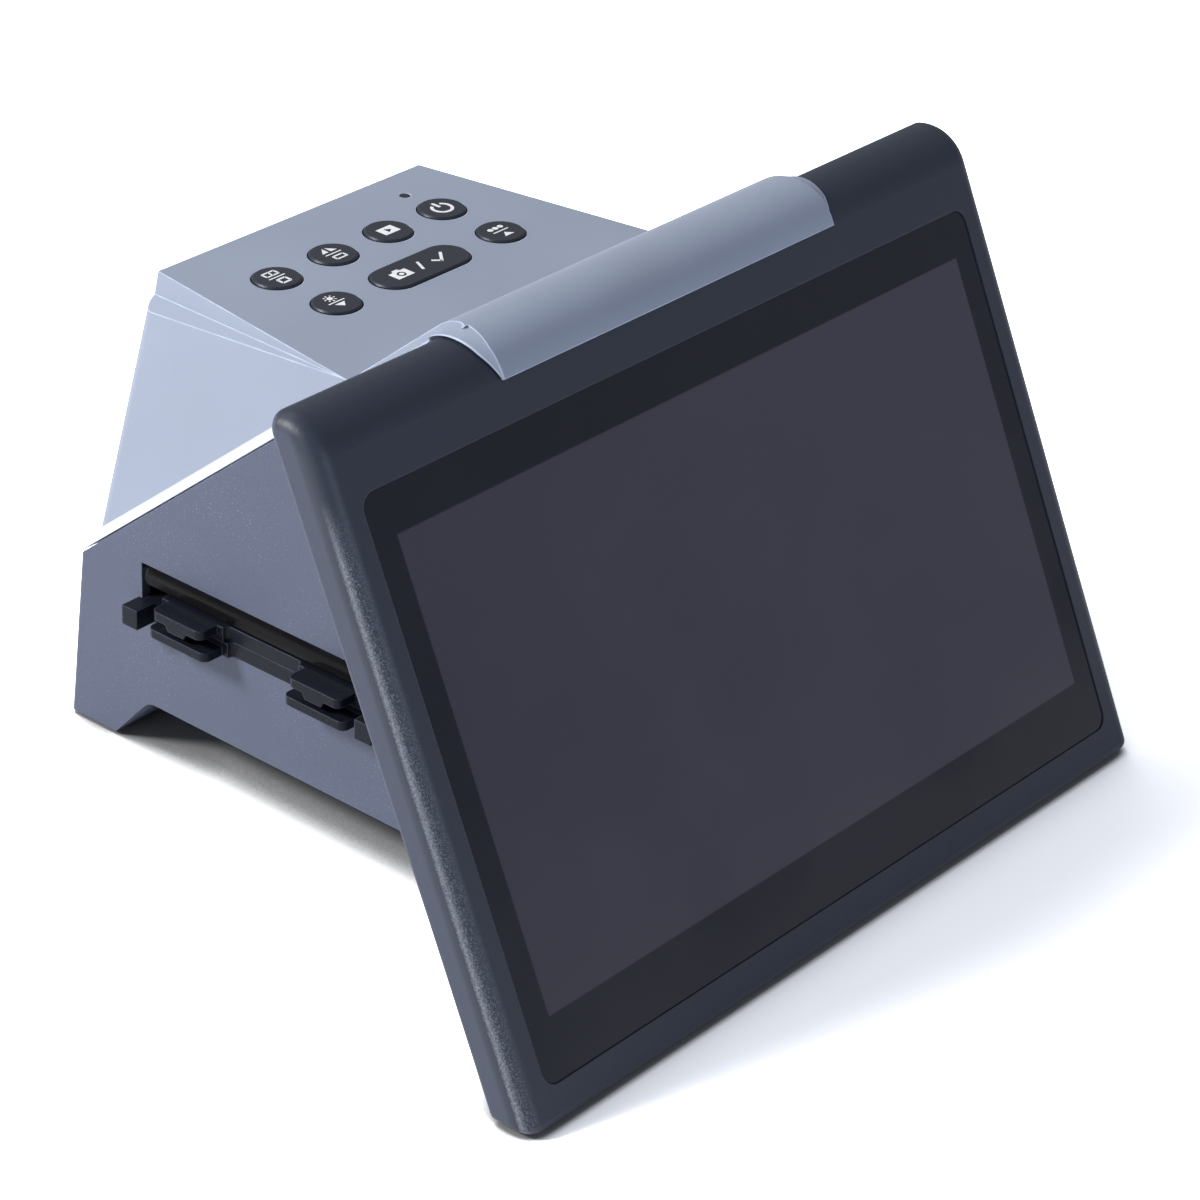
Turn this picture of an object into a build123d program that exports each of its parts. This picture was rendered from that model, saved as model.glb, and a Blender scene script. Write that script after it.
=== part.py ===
from build123d import *
import os
from math import atan2, cos, degrees, hypot, radians, sin, tan

# Film negative scanner. Millimetres, floor at Z = 0, X to the right, the screen faces -Y.
# Sizes are taken from the display's centre; the saved pieces have the origin under the
# middle of the whole object.

# ---------------------------------------------------------------- driving dimensions
# screen unit; "up" runs up the face from the display centre, "out" stands off the face
SCREEN_LEAN = 24.6
DISPLAY_CENTRE_Y = -55.8
DISPLAY_CENTRE_Z = 56.4
DISPLAY_WIDTH = 154.2
DISPLAY_HEIGHT = 86.7
SCREEN_WIDTH = 177.4
SCREEN_THICKNESS = 9.25
SCREEN_ROUND_START = 59.5
SCREEN_FLOOR_GAP = 0.8
SCREEN_END_ROUND = 3.4
SCREEN_BOTTOM_ROUND = 1.5
SCREEN_REAR_ROUND = 1.2
REAR_COVER_THICKNESS = 1.6
GLASS_WIDTH = 164.7
GLASS_TOP = 51.6
GLASS_BOTTOM = -53.9
GLASS_THICKNESS = 1.1
GLASS_RECESS = 0.25
GLASS_CORNER = 3.0
BEZEL_LEDGE = 1.5
PANEL_MARGIN = 1.6
PANEL_THICKNESS = 3.0
SCREEN_WALL = 2.6
SCREEN_BOARD_WIDTH = 96.0
SCREEN_BOARD_HEIGHT = 44.0
SCREEN_BOARD_THICKNESS = 1.2
SCREEN_BOARD_CENTRE = -8.0
TAPE_GAP = 0.4
SCREEN_POST_X = 76.0
SCREEN_POST_TOP = 50.2
SCREEN_POST_BOTTOM = -50.0

# tilt hinges
HINGE_DROP = 2.5
HINGE_X = 34.0
HINGE_PIN_RADIUS = 1.0
HINGE_BARREL_RADIUS = 2.3
HINGE_BODY_KNUCKLE = 6.0
HINGE_LEAF_WIDTH = 13.2
HINGE_SHEET = 1.2
HINGE_ARM = 1.6
SCREEN_LEAF_LENGTH = 12.6
BODY_LEAF_LENGTH = 31.0
LEAF_HOLE_INSET = 3.6
LEAF_HOLE_PITCH = 8.4
SWING_RADIUS = 12.1

# body
BODY_WIDTH = 90.0
BODY_WALL = 2.0
BODY_SCREEN_GAP = 1.2
BODY_REAR_Y = 79.3
BODY_REAR_LEAN = 6.5
SEAM_REAR_Z = 36.9
SEAM_SLOPE = 39.3
SEAM_GROOVE = 0.35
BODY_CORNER_ROUND = 1.2
PLASTIC_LIFT = 0.8
ARCH_HEIGHT = 11.1
ARCH_REAR_TOP = 57.0
ARCH_REAR_FOOT = 66.5
ARCH_FRONT_TOP = -41.0
ARCH_FRONT_FOOT = -50.0
ARCH_ROUND = 4.0

# top cover
DECK_Z = 97.1
DECK_REAR_Y = 62.2
DECK_THICKNESS = 2.2
COVER_REAR_LEAN = 10.9
COVER_WALL = 1.8
COVER_FLARE = 2.0
APEX_HALF_WIDTH = 43.5
APEX_Y = 6.2
SIDE_PLAN_TAPER = 6.05
SIDE_DRAFT = 6.75
UPPER_PLAN_TAPER = 8.5
UPPER_DRAFT = 3.0
LEDGE_REAR_FALL = 10.7
LEDGE_SIDE_FALL = 35.3
COVER_CORNER_ROUND = 3.2
RAMP_SLOPE = 40.0
HOOD_GAP = 0.35
HOOD_LIP_THICKNESS = 0.75
HOOD_WALL = 1.1
HOOD_RADIUS = 10.25
HOOD_RISE = 10.85
HOOD_LIP_UP = 59.3
UPPER_WALL = 1.6
FLARE_SLOPE = 45.0

# film path
FILM_CENTRE_Y = 25.0
SLOT_BOTTOM_Z = 30.7
SLOT_TOP_Z = 41.5
SLOT_WIDTH = 66.0
HOLDER_LIFT = 0.3
HOLDER_WIDTH = 64.5
HOLDER_LENGTH = 102.0
HOLDER_FRAME_THICKNESS = 3.0
HOLDER_UPPER_WIDTH = 52.0
HOLDER_TAB_DEPTH = 4.5
HOLDER_TAB_WIDTH = 15.4
HOLDER_TAB_SPACING = 35.6
HOLDER_TAB_THICKNESS = 1.8
HOLDER_TAB_ROUND = 1.5
HOLDER_TAB_ROOT = 2.0
HOLDER_UPPER_TAB_WIDTH = 13.0
HOLDER_BAY_DEPTH = 1.2
HOLDER_BAY_ROUND = 1.1
HOLDER_NIB_WIDTH = 6.0
HOLDER_NIB_SLOPE = 60.0
SLIDE_SIZE = 50.4
SLIDE_DEPTH = 1.6
HOLDER_LUG_WIDTH = 4.0
HOLDER_LUG_HEIGHT = 4.0
FRAME_WIDTH = 36.0
FRAME_HEIGHT = 24.0
FLAP_THICKNESS = 1.4
FLAP_GAP = 0.3
FLAP_PIN_RADIUS = 0.5
FLAP_LENGTH = 64.6
FLAP_BEARING = 1.2
FLAP_CORNER_ROUND = 1.6
GUIDE_PLATE = 2.0
GUIDE_RAIL = 3.0
GUIDE_RAIL_TOP_Z = 40.0
LEDGE_WIDTH = 2.0

# light box below the film
LIGHT_BOX_WIDTH = 54.0
LIGHT_BOX_DEPTH = 42.0
LIGHT_BOX_HEIGHT = 9.8
LIGHT_BOX_WALL = 1.6
DIFFUSER_THICKNESS = 2.0
LIGHT_BOARD_THICKNESS = 1.6
LED_SIZE = 2.8
LED_HEIGHT = 0.8
LED_PITCH = 9.0
LED_COLUMNS = 5
LED_ROWS = 3

# camera above the film
CHIMNEY_BASE_THICKNESS = 2.0
CHIMNEY_BOTTOM_WIDTH = 50.0
CHIMNEY_BOTTOM_DEPTH = 38.0
CHIMNEY_TOP_SIZE = 26.0
CHIMNEY_HEIGHT = 32.0
CHIMNEY_WALL = 1.8
LENS_RADIUS = 8.0
LENS_LENGTH = 16.0
LENS_GLASS_RADIUS = 5.0
LENS_GLASS_THICKNESS = 2.4
SENSOR_BOARD_SIZE = 26.0
SENSOR_BOARD_THICKNESS = 1.2
SENSOR_SIZE = 8.0
SENSOR_THICKNESS = 1.2
LENS_BULGE = 0.6
LENS_WALL = 1.6

# buttons
BUTTON_RADIUS = 4.7
BUTTON_PITCH = 14.85
BUTTON_REAR_Y = 44.2
BUTTON_FRONT_Y = 29.0
BUTTON_PROUD = 0.45
BUTTON_CLEARANCE = 0.25
BUTTON_TRAVEL = 0.6
BUTTON_FLANGE = 0.9
BUTTON_FLANGE_THICKNESS = 1.0
BUTTON_FLANGE_GAP = 0.3
BUTTON_STEM_SIZE = 3.6
BUTTON_STEM_LENGTH = 1.4
BUTTON_EDGE_BEVEL = 0.3
CAPTURE_LENGTH = 23.2
SWITCH_SIZE = 6.0
SWITCH_HEIGHT = 3.0
SWITCH_PLUNGER_RADIUS = 1.75
SWITCH_PLUNGER_HEIGHT = 0.5
BUTTON_BOARD_WIDTH = 68.0
BUTTON_BOARD_DEPTH = 38.0
BOARD_THICKNESS = 1.6
LIGHT_PIPE_RADIUS = 0.9
LIGHT_PIPE_FOOT = 3.2
LIGHT_PIPE_Y = 53.8

# electronics and fasteners
MAIN_BOARD_WIDTH = 68.0
MAIN_BOARD_FRONT_Y = -34.0
MAIN_BOARD_REAR_Y = 73.0
BOARD_STANDOFF = 1.6
CASE_SCREW_X = 40.0
CASE_SCREW_REAR_Y = 50.0
CASE_SCREW_FRONT_Y = -36.0
BOARD_SCREW_X = 30.0
BOARD_SCREW_REAR_Y = 42.0
BOARD_SCREW_FRONT_Y = -29.0
BUTTON_SCREW_X = 30.5
BUTTON_SCREW_INSET = 4.0
BOSS_RADIUS = 3.5
SCREW_RADIUS = 1.2
SCREW_SIDES = 8
SCREW_HEAD_RADIUS = 2.5
SCREW_HEAD_HEIGHT = 1.1
SCREW_CLEARANCE = 0.05
HEAD_CLEARANCE = 0.2
CASE_SCREW_LENGTH = 9.0
BOARD_SCREW_LENGTH = 2.6
RIVET_DEPTH = 2.0
FOOT_RADIUS = 4.5
FOOT_THICKNESS = 2.0
FOOT_X = 35.0
FOOT_REAR_Y = 72.0
FOOT_FRONT_Y = -59.0
SOCKET_REAR_Y = 76.9
STANDOFF_RADIUS = 3.0
SOCKET_WALL = 0.4
SOCKET_MOUTH = 0.8
HOLDER_PIN_RADIUS = 1.0
HOLDER_PIN_LENGTH = 3.6
GUIDE_END_GAP = 0.2
CAMERA_PLATE_WIDTH = 68.0
PART_GAP = 0.2
# how far tools reach past what they cut
REACH = 120.0
EPS = 1.0

# ---------------------------------------------------------------- derived layout
LEAN_SIN = sin(radians(SCREEN_LEAN))
LEAN_COS = cos(radians(SCREEN_LEAN))
BODY_HALF = BODY_WIDTH / 2
BODY_INNER = BODY_HALF - BODY_WALL
SCREEN_HALF = SCREEN_WIDTH / 2
BODY_FRONT_OUT = -SCREEN_THICKNESS - BODY_SCREEN_GAP
HINGE_UP = SCREEN_ROUND_START - HINGE_DROP
SCREEN_CREST = SCREEN_ROUND_START + SCREEN_THICKNESS


def face_point(up, out):
    """Y and Z of a point up the screen's face and out from it."""
    y = DISPLAY_CENTRE_Y + up * LEAN_SIN - out * LEAN_COS
    z = DISPLAY_CENTRE_Z + up * LEAN_COS + out * LEAN_SIN
    return y, z


def up_at_height(z, out):
    """How far up the face a line parallel to it reaches the height z."""
    return (z - DISPLAY_CENTRE_Z - out * LEAN_SIN) / LEAN_COS


def crossing(point, angle, other_point, other_angle):
    """Where two lines in the YZ plane cross; angles in degrees from +Y."""
    dy, dz = cos(radians(angle)), sin(radians(angle))
    ey, ez = cos(radians(other_angle)), sin(radians(other_angle))
    ky, kz = other_point[0] - point[0], other_point[1] - point[1]
    run = (ky * ez - kz * ey) / (dy * ez - dz * ey)
    return point[0] + run * dy, point[1] + run * dz


def beside(point, angle, distance):
    """A point moved sideways, to the left of the direction given by the angle."""
    return (
        point[0] - distance * sin(radians(angle)),
        point[1] + distance * cos(radians(angle)),
    )


FACE_ANGLE = 90 - SCREEN_LEAN
BODY_REAR_ANGLE = 90 + BODY_REAR_LEAN
COVER_REAR_ANGLE = 90 + COVER_REAR_LEAN
SEAM_ANGLE = 180 - SEAM_SLOPE
RAMP_ANGLE = 180 - RAMP_SLOPE

HINGE_Y, HINGE_Z = face_point(HINGE_UP, -SCREEN_THICKNESS)
BODY_REAR_FOOT = (BODY_REAR_Y, 0)
SEAM_REAR = (BODY_REAR_Y - SEAM_REAR_Z * tan(radians(BODY_REAR_LEAN)), SEAM_REAR_Z)
DECK_REAR = (DECK_REAR_Y, DECK_Z)
BODY_FRONT = face_point(0, BODY_FRONT_OUT)

# the ramp runs down from the hood to the deck; its line stands off the screen's rounded top
ROUND_CENTRE = face_point(SCREEN_ROUND_START, -SCREEN_THICKNESS)
RAMP_POINT = beside(ROUND_CENTRE, RAMP_ANGLE, -HOOD_RISE)
RAMP_INNER_POINT = beside(ROUND_CENTRE, RAMP_ANGLE, -HOOD_RISE + HOOD_WALL)
DECK_FRONT = crossing(RAMP_POINT, RAMP_ANGLE, DECK_REAR, 0)

SCREEN_AXIS = Plane(origin=(0, DISPLAY_CENTRE_Y, DISPLAY_CENTRE_Z), x_dir=(1, 0, 0),
                    z_dir=(0, -LEAN_COS, LEAN_SIN))
OUT_AXIS = Axis((0, DISPLAY_CENTRE_Y, DISPLAY_CENTRE_Z), (0, -LEAN_COS, LEAN_SIN))

HOLDER_Z = SLOT_BOTTOM_Z + HOLDER_LIFT
HOLDER_MID_Z = HOLDER_Z + HOLDER_FRAME_THICKNESS
HOLDER_TOP_Z = HOLDER_MID_Z + HOLDER_FRAME_THICKNESS
GUIDE_Z = SLOT_BOTTOM_Z - GUIDE_PLATE
BOTTOM_ROOF_Z = ARCH_HEIGHT + BODY_WALL
MAIN_BOARD_Z = BOTTOM_ROOF_Z + BOARD_STANDOFF
MAIN_BOARD_TOP = MAIN_BOARD_Z + BOARD_THICKNESS
DECK_INNER_Z = DECK_Z - DECK_THICKNESS
BUTTON_FLANGE_Z = DECK_INNER_Z - BUTTON_FLANGE_GAP - BUTTON_FLANGE_THICKNESS
STEM_Z = BUTTON_FLANGE_Z - BUTTON_STEM_LENGTH
SWITCH_TOP_Z = STEM_Z - BUTTON_TRAVEL - PART_GAP / 2
BUTTON_BOARD_TOP = SWITCH_TOP_Z - SWITCH_PLUNGER_HEIGHT - SWITCH_HEIGHT
BUTTON_BOARD_Y = (BUTTON_REAR_Y + BUTTON_FRONT_Y) / 2
BUTTON_ROWS = {
    "film_type_button": (-1.5 * BUTTON_PITCH, BUTTON_REAR_Y),
    "mirror_button": (-0.5 * BUTTON_PITCH, BUTTON_REAR_Y),
    "playback_button": (0.5 * BUTTON_PITCH, BUTTON_REAR_Y),
    "power_button": (1.5 * BUTTON_PITCH, BUTTON_REAR_Y),
    "brightness_button": (-1.5 * BUTTON_PITCH, BUTTON_FRONT_Y),
    "colour_button": (1.5 * BUTTON_PITCH, BUTTON_FRONT_Y),
}
CAPTURE_POINT = (0, BUTTON_FRONT_Y)
LIGHT_PIPE_X = 1.5 * BUTTON_PITCH
CASE_SCREWS = [(x, y) for x in (-CASE_SCREW_X, CASE_SCREW_X) for y in (CASE_SCREW_REAR_Y, CASE_SCREW_FRONT_Y)]
BOARD_SCREWS = [(x, y) for x in (-BOARD_SCREW_X, BOARD_SCREW_X) for y in (BOARD_SCREW_FRONT_Y, BOARD_SCREW_REAR_Y)]
# two screws across a diagonal of the button board
BUTTON_SCREWS = [
    (side * BUTTON_SCREW_X, BUTTON_BOARD_Y + side * (BUTTON_BOARD_DEPTH / 2 - BUTTON_SCREW_INSET)) for side in (-1, 1)
]
FEET = [(x, y) for x in (-FOOT_X, FOOT_X) for y in (FOOT_REAR_Y, FOOT_FRONT_Y)]
SCREEN_POSTS = [(x, up) for x in (-SCREEN_POST_X, SCREEN_POST_X) for up in (SCREEN_POST_TOP, SCREEN_POST_BOTTOM)]
LEAF_RIVETS = [(x, HINGE_UP - HINGE_BARREL_RADIUS - BOSS_RADIUS) for x in (-HINGE_X, HINGE_X)]

FLAP_X = BODY_INNER + BODY_WALL / 2
FLAP_PIVOT_Z = SLOT_TOP_Z - FLAP_GAP - FLAP_THICKNESS / 2
# x, width, height and depth of each socket on the main board's rear edge
SOCKETS = {
    "usb_socket": (-22.0, 9.0, 3.2, 7.5),
    "hdmi_socket": (-4.0, 11.2, 3.4, 8.0),
    "sd_card_socket": (17.0, 24.0, 2.8, 27.0),
}

os.makedirs("parts", exist_ok=True)


def save(item, name):
    """Write one piece, moved so that the origin lies under the middle of the whole object."""
    placed = Pos(0, CENTRE_SHIFT, 0) * item
    placed.label = name
    export_step(placed, "parts/" + name + ".step")


def both_sides(count):
    return [side * count for side in (-1, 1)]


# ---------------------------------------------------------------- screen unit
def screen_housing():
    """The outer form of the whole screen unit: flat face, quarter-round top, level foot."""
    bottom_front = face_point(up_at_height(SCREEN_FLOOR_GAP, 0), 0)
    bottom_rear = face_point(up_at_height(SCREEN_FLOOR_GAP, -SCREEN_THICKNESS), -SCREEN_THICKNESS)
    round_middle = SCREEN_THICKNESS * sin(radians(45))
    with BuildPart() as housing:
        with BuildSketch(Plane.YZ):
            with BuildLine():
                Line(bottom_front, face_point(SCREEN_ROUND_START, 0))
                ThreePointArc(
                    face_point(SCREEN_ROUND_START, 0),
                    face_point(SCREEN_ROUND_START + round_middle, round_middle - SCREEN_THICKNESS),
                    face_point(SCREEN_CREST, -SCREEN_THICKNESS),
                )
                Line(face_point(SCREEN_CREST, -SCREEN_THICKNESS), bottom_rear)
                Line(bottom_rear, bottom_front)
            make_face()
        extrude(amount=SCREEN_HALF, both=True)
        # rounded ends: the face's and the top's rims, but not the rear edge or the foot
        for end in housing.faces().filter_by(Axis.X):
            rims = end.edges().sort_by(OUT_AXIS)[1:]
            fillet([rim for rim in rims if rim.center().Z > DISPLAY_CENTRE_Z / 2], radius=SCREEN_END_ROUND)
        foot_edges = housing.faces().sort_by(Axis.Z)[0].edges()
        fillet(foot_edges.sort_by(Axis.Y)[:-1], radius=SCREEN_BOTTOM_ROUND)
        fillet(housing.edges().filter_by(Axis.X).sort_by(Axis.Z)[-1], radius=SCREEN_REAR_ROUND)
    return housing.part


def hinge_pockets():
    """Room for the hinge barrels in the back of the screen unit."""
    pocket_width = HINGE_LEAF_WIDTH + 2 * PART_GAP
    pocket_depth = HINGE_BARREL_RADIUS + 2 * PART_GAP
    with BuildPart() as pockets:
        for x in both_sides(HINGE_X):
            with BuildSketch(Plane.YZ.offset(x - pocket_width / 2)):
                with BuildLine():
                    Polyline(
                        face_point(HINGE_UP - pocket_depth, -SCREEN_THICKNESS - pocket_depth),
                        face_point(HINGE_UP + pocket_depth, -SCREEN_THICKNESS - pocket_depth),
                        face_point(HINGE_UP + pocket_depth, -SCREEN_THICKNESS + pocket_depth),
                        face_point(HINGE_UP - pocket_depth, -SCREEN_THICKNESS + pocket_depth),
                        close=True,
                    )
                make_face()
            extrude(amount=pocket_width)
    return pockets.part


SCREEN_OUTER = screen_housing()
FOOT_REAR = crossing(BODY_REAR_FOOT, BODY_REAR_ANGLE, (0, PLASTIC_LIFT), 0)
CENTRE_SHIFT = -(SCREEN_OUTER.bounding_box().min.Y + FOOT_REAR[0]) / 2
HINGE_POCKETS = hinge_pockets()
REAR_COVER_OUT = -SCREEN_THICKNESS + REAR_COVER_THICKNESS
GLASS_CENTRE = (GLASS_TOP + GLASS_BOTTOM) / 2
GLASS_HEIGHT = GLASS_TOP - GLASS_BOTTOM
GLASS_BACK = -GLASS_RECESS - GLASS_THICKNESS
LEDGE_BACK = GLASS_BACK - BEZEL_LEDGE
PANEL_WIDTH = DISPLAY_WIDTH + 2 * PANEL_MARGIN
PANEL_HEIGHT = DISPLAY_HEIGHT + 2 * PANEL_MARGIN
PANEL_BACK = GLASS_BACK - PANEL_THICKNESS
CAVITY_TOP = SCREEN_ROUND_START - HINGE_DROP - SCREEN_WALL
CAVITY_BOTTOM = GLASS_BOTTOM - BODY_WALL / 2

with BuildPart() as screen_front_frame:
    add(SCREEN_OUTER)
    split(bisect_by=SCREEN_AXIS.offset(REAR_COVER_OUT), keep=Keep.TOP)
    # seat for the glass
    with BuildSketch(SCREEN_AXIS.offset(GLASS_BACK)):
        with Locations((0, GLASS_CENTRE)):
            RectangleRounded(GLASS_WIDTH + PART_GAP, GLASS_HEIGHT + PART_GAP, GLASS_CORNER)
    extrude(amount=GLASS_THICKNESS + EPS, mode=Mode.SUBTRACT)
    # window that the display sits in
    with BuildSketch(SCREEN_AXIS.offset(GLASS_BACK)):
        Rectangle(PANEL_WIDTH + 2 * PART_GAP, PANEL_HEIGHT + 2 * PART_GAP)
    extrude(amount=-SCREEN_THICKNESS, mode=Mode.SUBTRACT)
    # hollow behind the ledge, with the posts for the rear cover's screws left standing
    with BuildSketch(SCREEN_AXIS.offset(LEDGE_BACK)):
        with Locations((0, (CAVITY_TOP + CAVITY_BOTTOM) / 2)):
            Rectangle(SCREEN_WIDTH - 2 * SCREEN_WALL - SCREEN_END_ROUND, CAVITY_TOP - CAVITY_BOTTOM)
        with Locations(SCREEN_POSTS):
            Circle(BOSS_RADIUS - PART_GAP, mode=Mode.SUBTRACT)
        with Locations(LEAF_RIVETS):
            Circle(BOSS_RADIUS - PART_GAP, mode=Mode.SUBTRACT)
    extrude(amount=-SCREEN_THICKNESS, mode=Mode.SUBTRACT)
    with BuildSketch(SCREEN_AXIS.offset(REAR_COVER_OUT)):
        with Locations(LEAF_RIVETS):
            Circle(BOSS_RADIUS)
        with Locations([(x, HINGE_UP - SCREEN_LEAF_LENGTH / 2) for x in both_sides(HINGE_X)]):
            Rectangle(HINGE_LEAF_WIDTH + 2 * PART_GAP, SCREEN_LEAF_LENGTH + 2 * PART_GAP)
    extrude(amount=HINGE_SHEET + PART_GAP, mode=Mode.SUBTRACT)
    with Locations([SCREEN_AXIS.location * Pos(x, up, REAR_COVER_OUT) for x, up in SCREEN_POSTS]):
        Cylinder(SCREW_RADIUS + SCREW_CLEARANCE, 2 * BOARD_SCREW_LENGTH, mode=Mode.SUBTRACT)
    with Locations([SCREEN_AXIS.location * Pos(x, up, REAR_COVER_OUT) for x, up in LEAF_RIVETS]):
        Cylinder(SCREW_RADIUS + SCREW_CLEARANCE, 2 * (HINGE_SHEET + RIVET_DEPTH + PART_GAP), mode=Mode.SUBTRACT)
    add(HINGE_POCKETS, mode=Mode.SUBTRACT)
save(screen_front_frame.part, "screen_front_frame")

with BuildPart() as screen_rear_cover:
    add(SCREEN_OUTER)
    split(bisect_by=SCREEN_AXIS.offset(REAR_COVER_OUT), keep=Keep.BOTTOM)
    with Locations([SCREEN_AXIS.location * Pos(x, up, -SCREEN_THICKNESS) for x, up in SCREEN_POSTS]):
        Cylinder(SCREW_RADIUS + HEAD_CLEARANCE, 2 * SCREEN_THICKNESS, mode=Mode.SUBTRACT)
        Cylinder(SCREW_HEAD_RADIUS + HEAD_CLEARANCE, 2 * SCREW_HEAD_HEIGHT, mode=Mode.SUBTRACT)
    add(HINGE_POCKETS, mode=Mode.SUBTRACT)
save(screen_rear_cover.part, "screen_rear_cover")

with BuildPart() as screen_glass:
    with BuildSketch(SCREEN_AXIS.offset(-GLASS_RECESS)):
        with Locations((0, GLASS_CENTRE)):
            RectangleRounded(GLASS_WIDTH, GLASS_HEIGHT, GLASS_CORNER)
    extrude(amount=-GLASS_THICKNESS)
save(screen_glass.part, "screen_glass")

with BuildPart() as lcd_panel:
    with BuildSketch(SCREEN_AXIS.offset(GLASS_BACK)):
        Rectangle(PANEL_WIDTH, PANEL_HEIGHT)
    extrude(amount=-PANEL_THICKNESS)
save(lcd_panel.part, "lcd_panel")

with BuildPart() as lcd_board:
    with BuildSketch(SCREEN_AXIS.offset(PANEL_BACK - TAPE_GAP)):
        with Locations((0, SCREEN_BOARD_CENTRE)):
            Rectangle(SCREEN_BOARD_WIDTH, SCREEN_BOARD_HEIGHT)
    extrude(amount=-SCREEN_BOARD_THICKNESS)
save(lcd_board.part, "lcd_board")


def screws(places, length, head_radius, head_height):
    """Pan-head screws: each place is the plane under the head, its normal pointing to the head."""
    with BuildPart() as group:
        for place in places:
            with BuildSketch(place):
                RegularPolygon(head_radius, SCREW_SIDES)
            extrude(amount=head_height)
            with BuildSketch(place):
                RegularPolygon(SCREW_RADIUS, SCREW_SIDES)
            extrude(amount=-length)
    return group.part


SCREEN_SCREW_OUT = -SCREEN_THICKNESS + SCREW_HEAD_HEIGHT
screen_screws = screws(
    [Plane(origin=(x, *face_point(up, SCREEN_SCREW_OUT)), z_dir=(0, LEAN_COS, -LEAN_SIN))
     for x, up in SCREEN_POSTS],
    BOARD_SCREW_LENGTH, SCREW_HEAD_RADIUS, SCREW_HEAD_HEIGHT - PART_GAP / 2)
save(screen_screws, "screen_screws")

# ---------------------------------------------------------------- tilt hinges
LEAF_BACK = BODY_FRONT_OUT - BODY_WALL


def leaf_sheet(up_low, up_high, out_low, out_high):
    """Corner points of a flat sheet that lies parallel to the screen, seen from the side."""
    return [
        face_point(up_low, out_low),
        face_point(up_high, out_low),
        face_point(up_high, out_high),
        face_point(up_low, out_high),
    ]


with BuildPart() as hinge_screen_leaves:
    for x in both_sides(HINGE_X):
        with BuildSketch(Plane.YZ.offset(x - HINGE_LEAF_WIDTH / 2)):
            with BuildLine():
                Polyline(leaf_sheet(HINGE_UP - SCREEN_LEAF_LENGTH, HINGE_UP,
                                    REAR_COVER_OUT + PART_GAP, REAR_COVER_OUT + PART_GAP + HINGE_SHEET), close=True)
            make_face()
            with Locations((HINGE_Y, HINGE_Z)):
                Circle(HINGE_BARREL_RADIUS)
        extrude(amount=HINGE_LEAF_WIDTH)
        with BuildSketch(Plane.YZ.offset(x - HINGE_BODY_KNUCKLE / 2 - PART_GAP)):
            with Locations((HINGE_Y, HINGE_Z)):
                Circle(HINGE_BARREL_RADIUS + PART_GAP)
        extrude(amount=HINGE_BODY_KNUCKLE + 2 * PART_GAP, mode=Mode.SUBTRACT)
        with Locations(Location((x, HINGE_Y, HINGE_Z), (0, 90, 0))):
            Cylinder(HINGE_PIN_RADIUS + SCREW_CLEARANCE, HINGE_LEAF_WIDTH + EPS, mode=Mode.SUBTRACT)
    with Locations([SCREEN_AXIS.location * Pos(x, up, REAR_COVER_OUT) for x, up in LEAF_RIVETS]):
        Cylinder(SCREW_RADIUS + SCREW_CLEARANCE, SCREEN_THICKNESS, mode=Mode.SUBTRACT)
save(hinge_screen_leaves.part, "hinge_screen_leaves")

LEAF_HOLE_LOW = HINGE_UP - BODY_LEAF_LENGTH + LEAF_HOLE_INSET
BODY_LEAF_HOLES = [LEAF_HOLE_LOW, LEAF_HOLE_LOW + LEAF_HOLE_PITCH]
with BuildPart() as hinge_body_leaves:
    for x in both_sides(HINGE_X):
        with BuildSketch(Plane.YZ.offset(x - HINGE_BODY_KNUCKLE / 2)):
            with BuildLine():
                Polyline(leaf_sheet(HINGE_UP - HINGE_ARM / 2, HINGE_UP + HINGE_ARM / 2,
                                    LEAF_BACK - HINGE_SHEET, -SCREEN_THICKNESS), close=True)
            make_face()
            with Locations((HINGE_Y, HINGE_Z)):
                Circle(HINGE_BARREL_RADIUS)
        extrude(amount=HINGE_BODY_KNUCKLE)
        with BuildSketch(Plane.YZ.offset(x - HINGE_LEAF_WIDTH / 2)):
            with BuildLine():
                Polyline(leaf_sheet(HINGE_UP - BODY_LEAF_LENGTH, HINGE_UP + HINGE_ARM / 2,
                                    LEAF_BACK - HINGE_SHEET, LEAF_BACK), close=True)
            make_face()
        extrude(amount=HINGE_LEAF_WIDTH)
        with Locations(Location((x, HINGE_Y, HINGE_Z), (0, 90, 0))):
            Cylinder(HINGE_PIN_RADIUS + SCREW_CLEARANCE, HINGE_LEAF_WIDTH + EPS, mode=Mode.SUBTRACT)
        with Locations([SCREEN_AXIS.location * Pos(x, up, LEAF_BACK) for up in BODY_LEAF_HOLES]):
            Cylinder(SCREW_RADIUS + SCREW_CLEARANCE, 2 * BODY_WALL, mode=Mode.SUBTRACT)
save(hinge_body_leaves.part, "hinge_body_leaves")

with BuildPart() as hinge_pins:
    with Locations([Location((x, HINGE_Y, HINGE_Z), (0, 90, 0)) for x in both_sides(HINGE_X)]):
        Cylinder(HINGE_PIN_RADIUS, HINGE_LEAF_WIDTH)
save(hinge_pins.part, "hinge_pins")

hinge_screws = screws(
    [Plane(origin=(x, *face_point(up, LEAF_BACK - HINGE_SHEET)), z_dir=(0, LEAN_COS, -LEAN_SIN))
     for x in both_sides(HINGE_X) for up in BODY_LEAF_HOLES],
    HINGE_SHEET + BODY_WALL - PART_GAP, SCREW_HEAD_RADIUS, SCREW_HEAD_HEIGHT)
save(hinge_screws, "hinge_screws")

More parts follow.
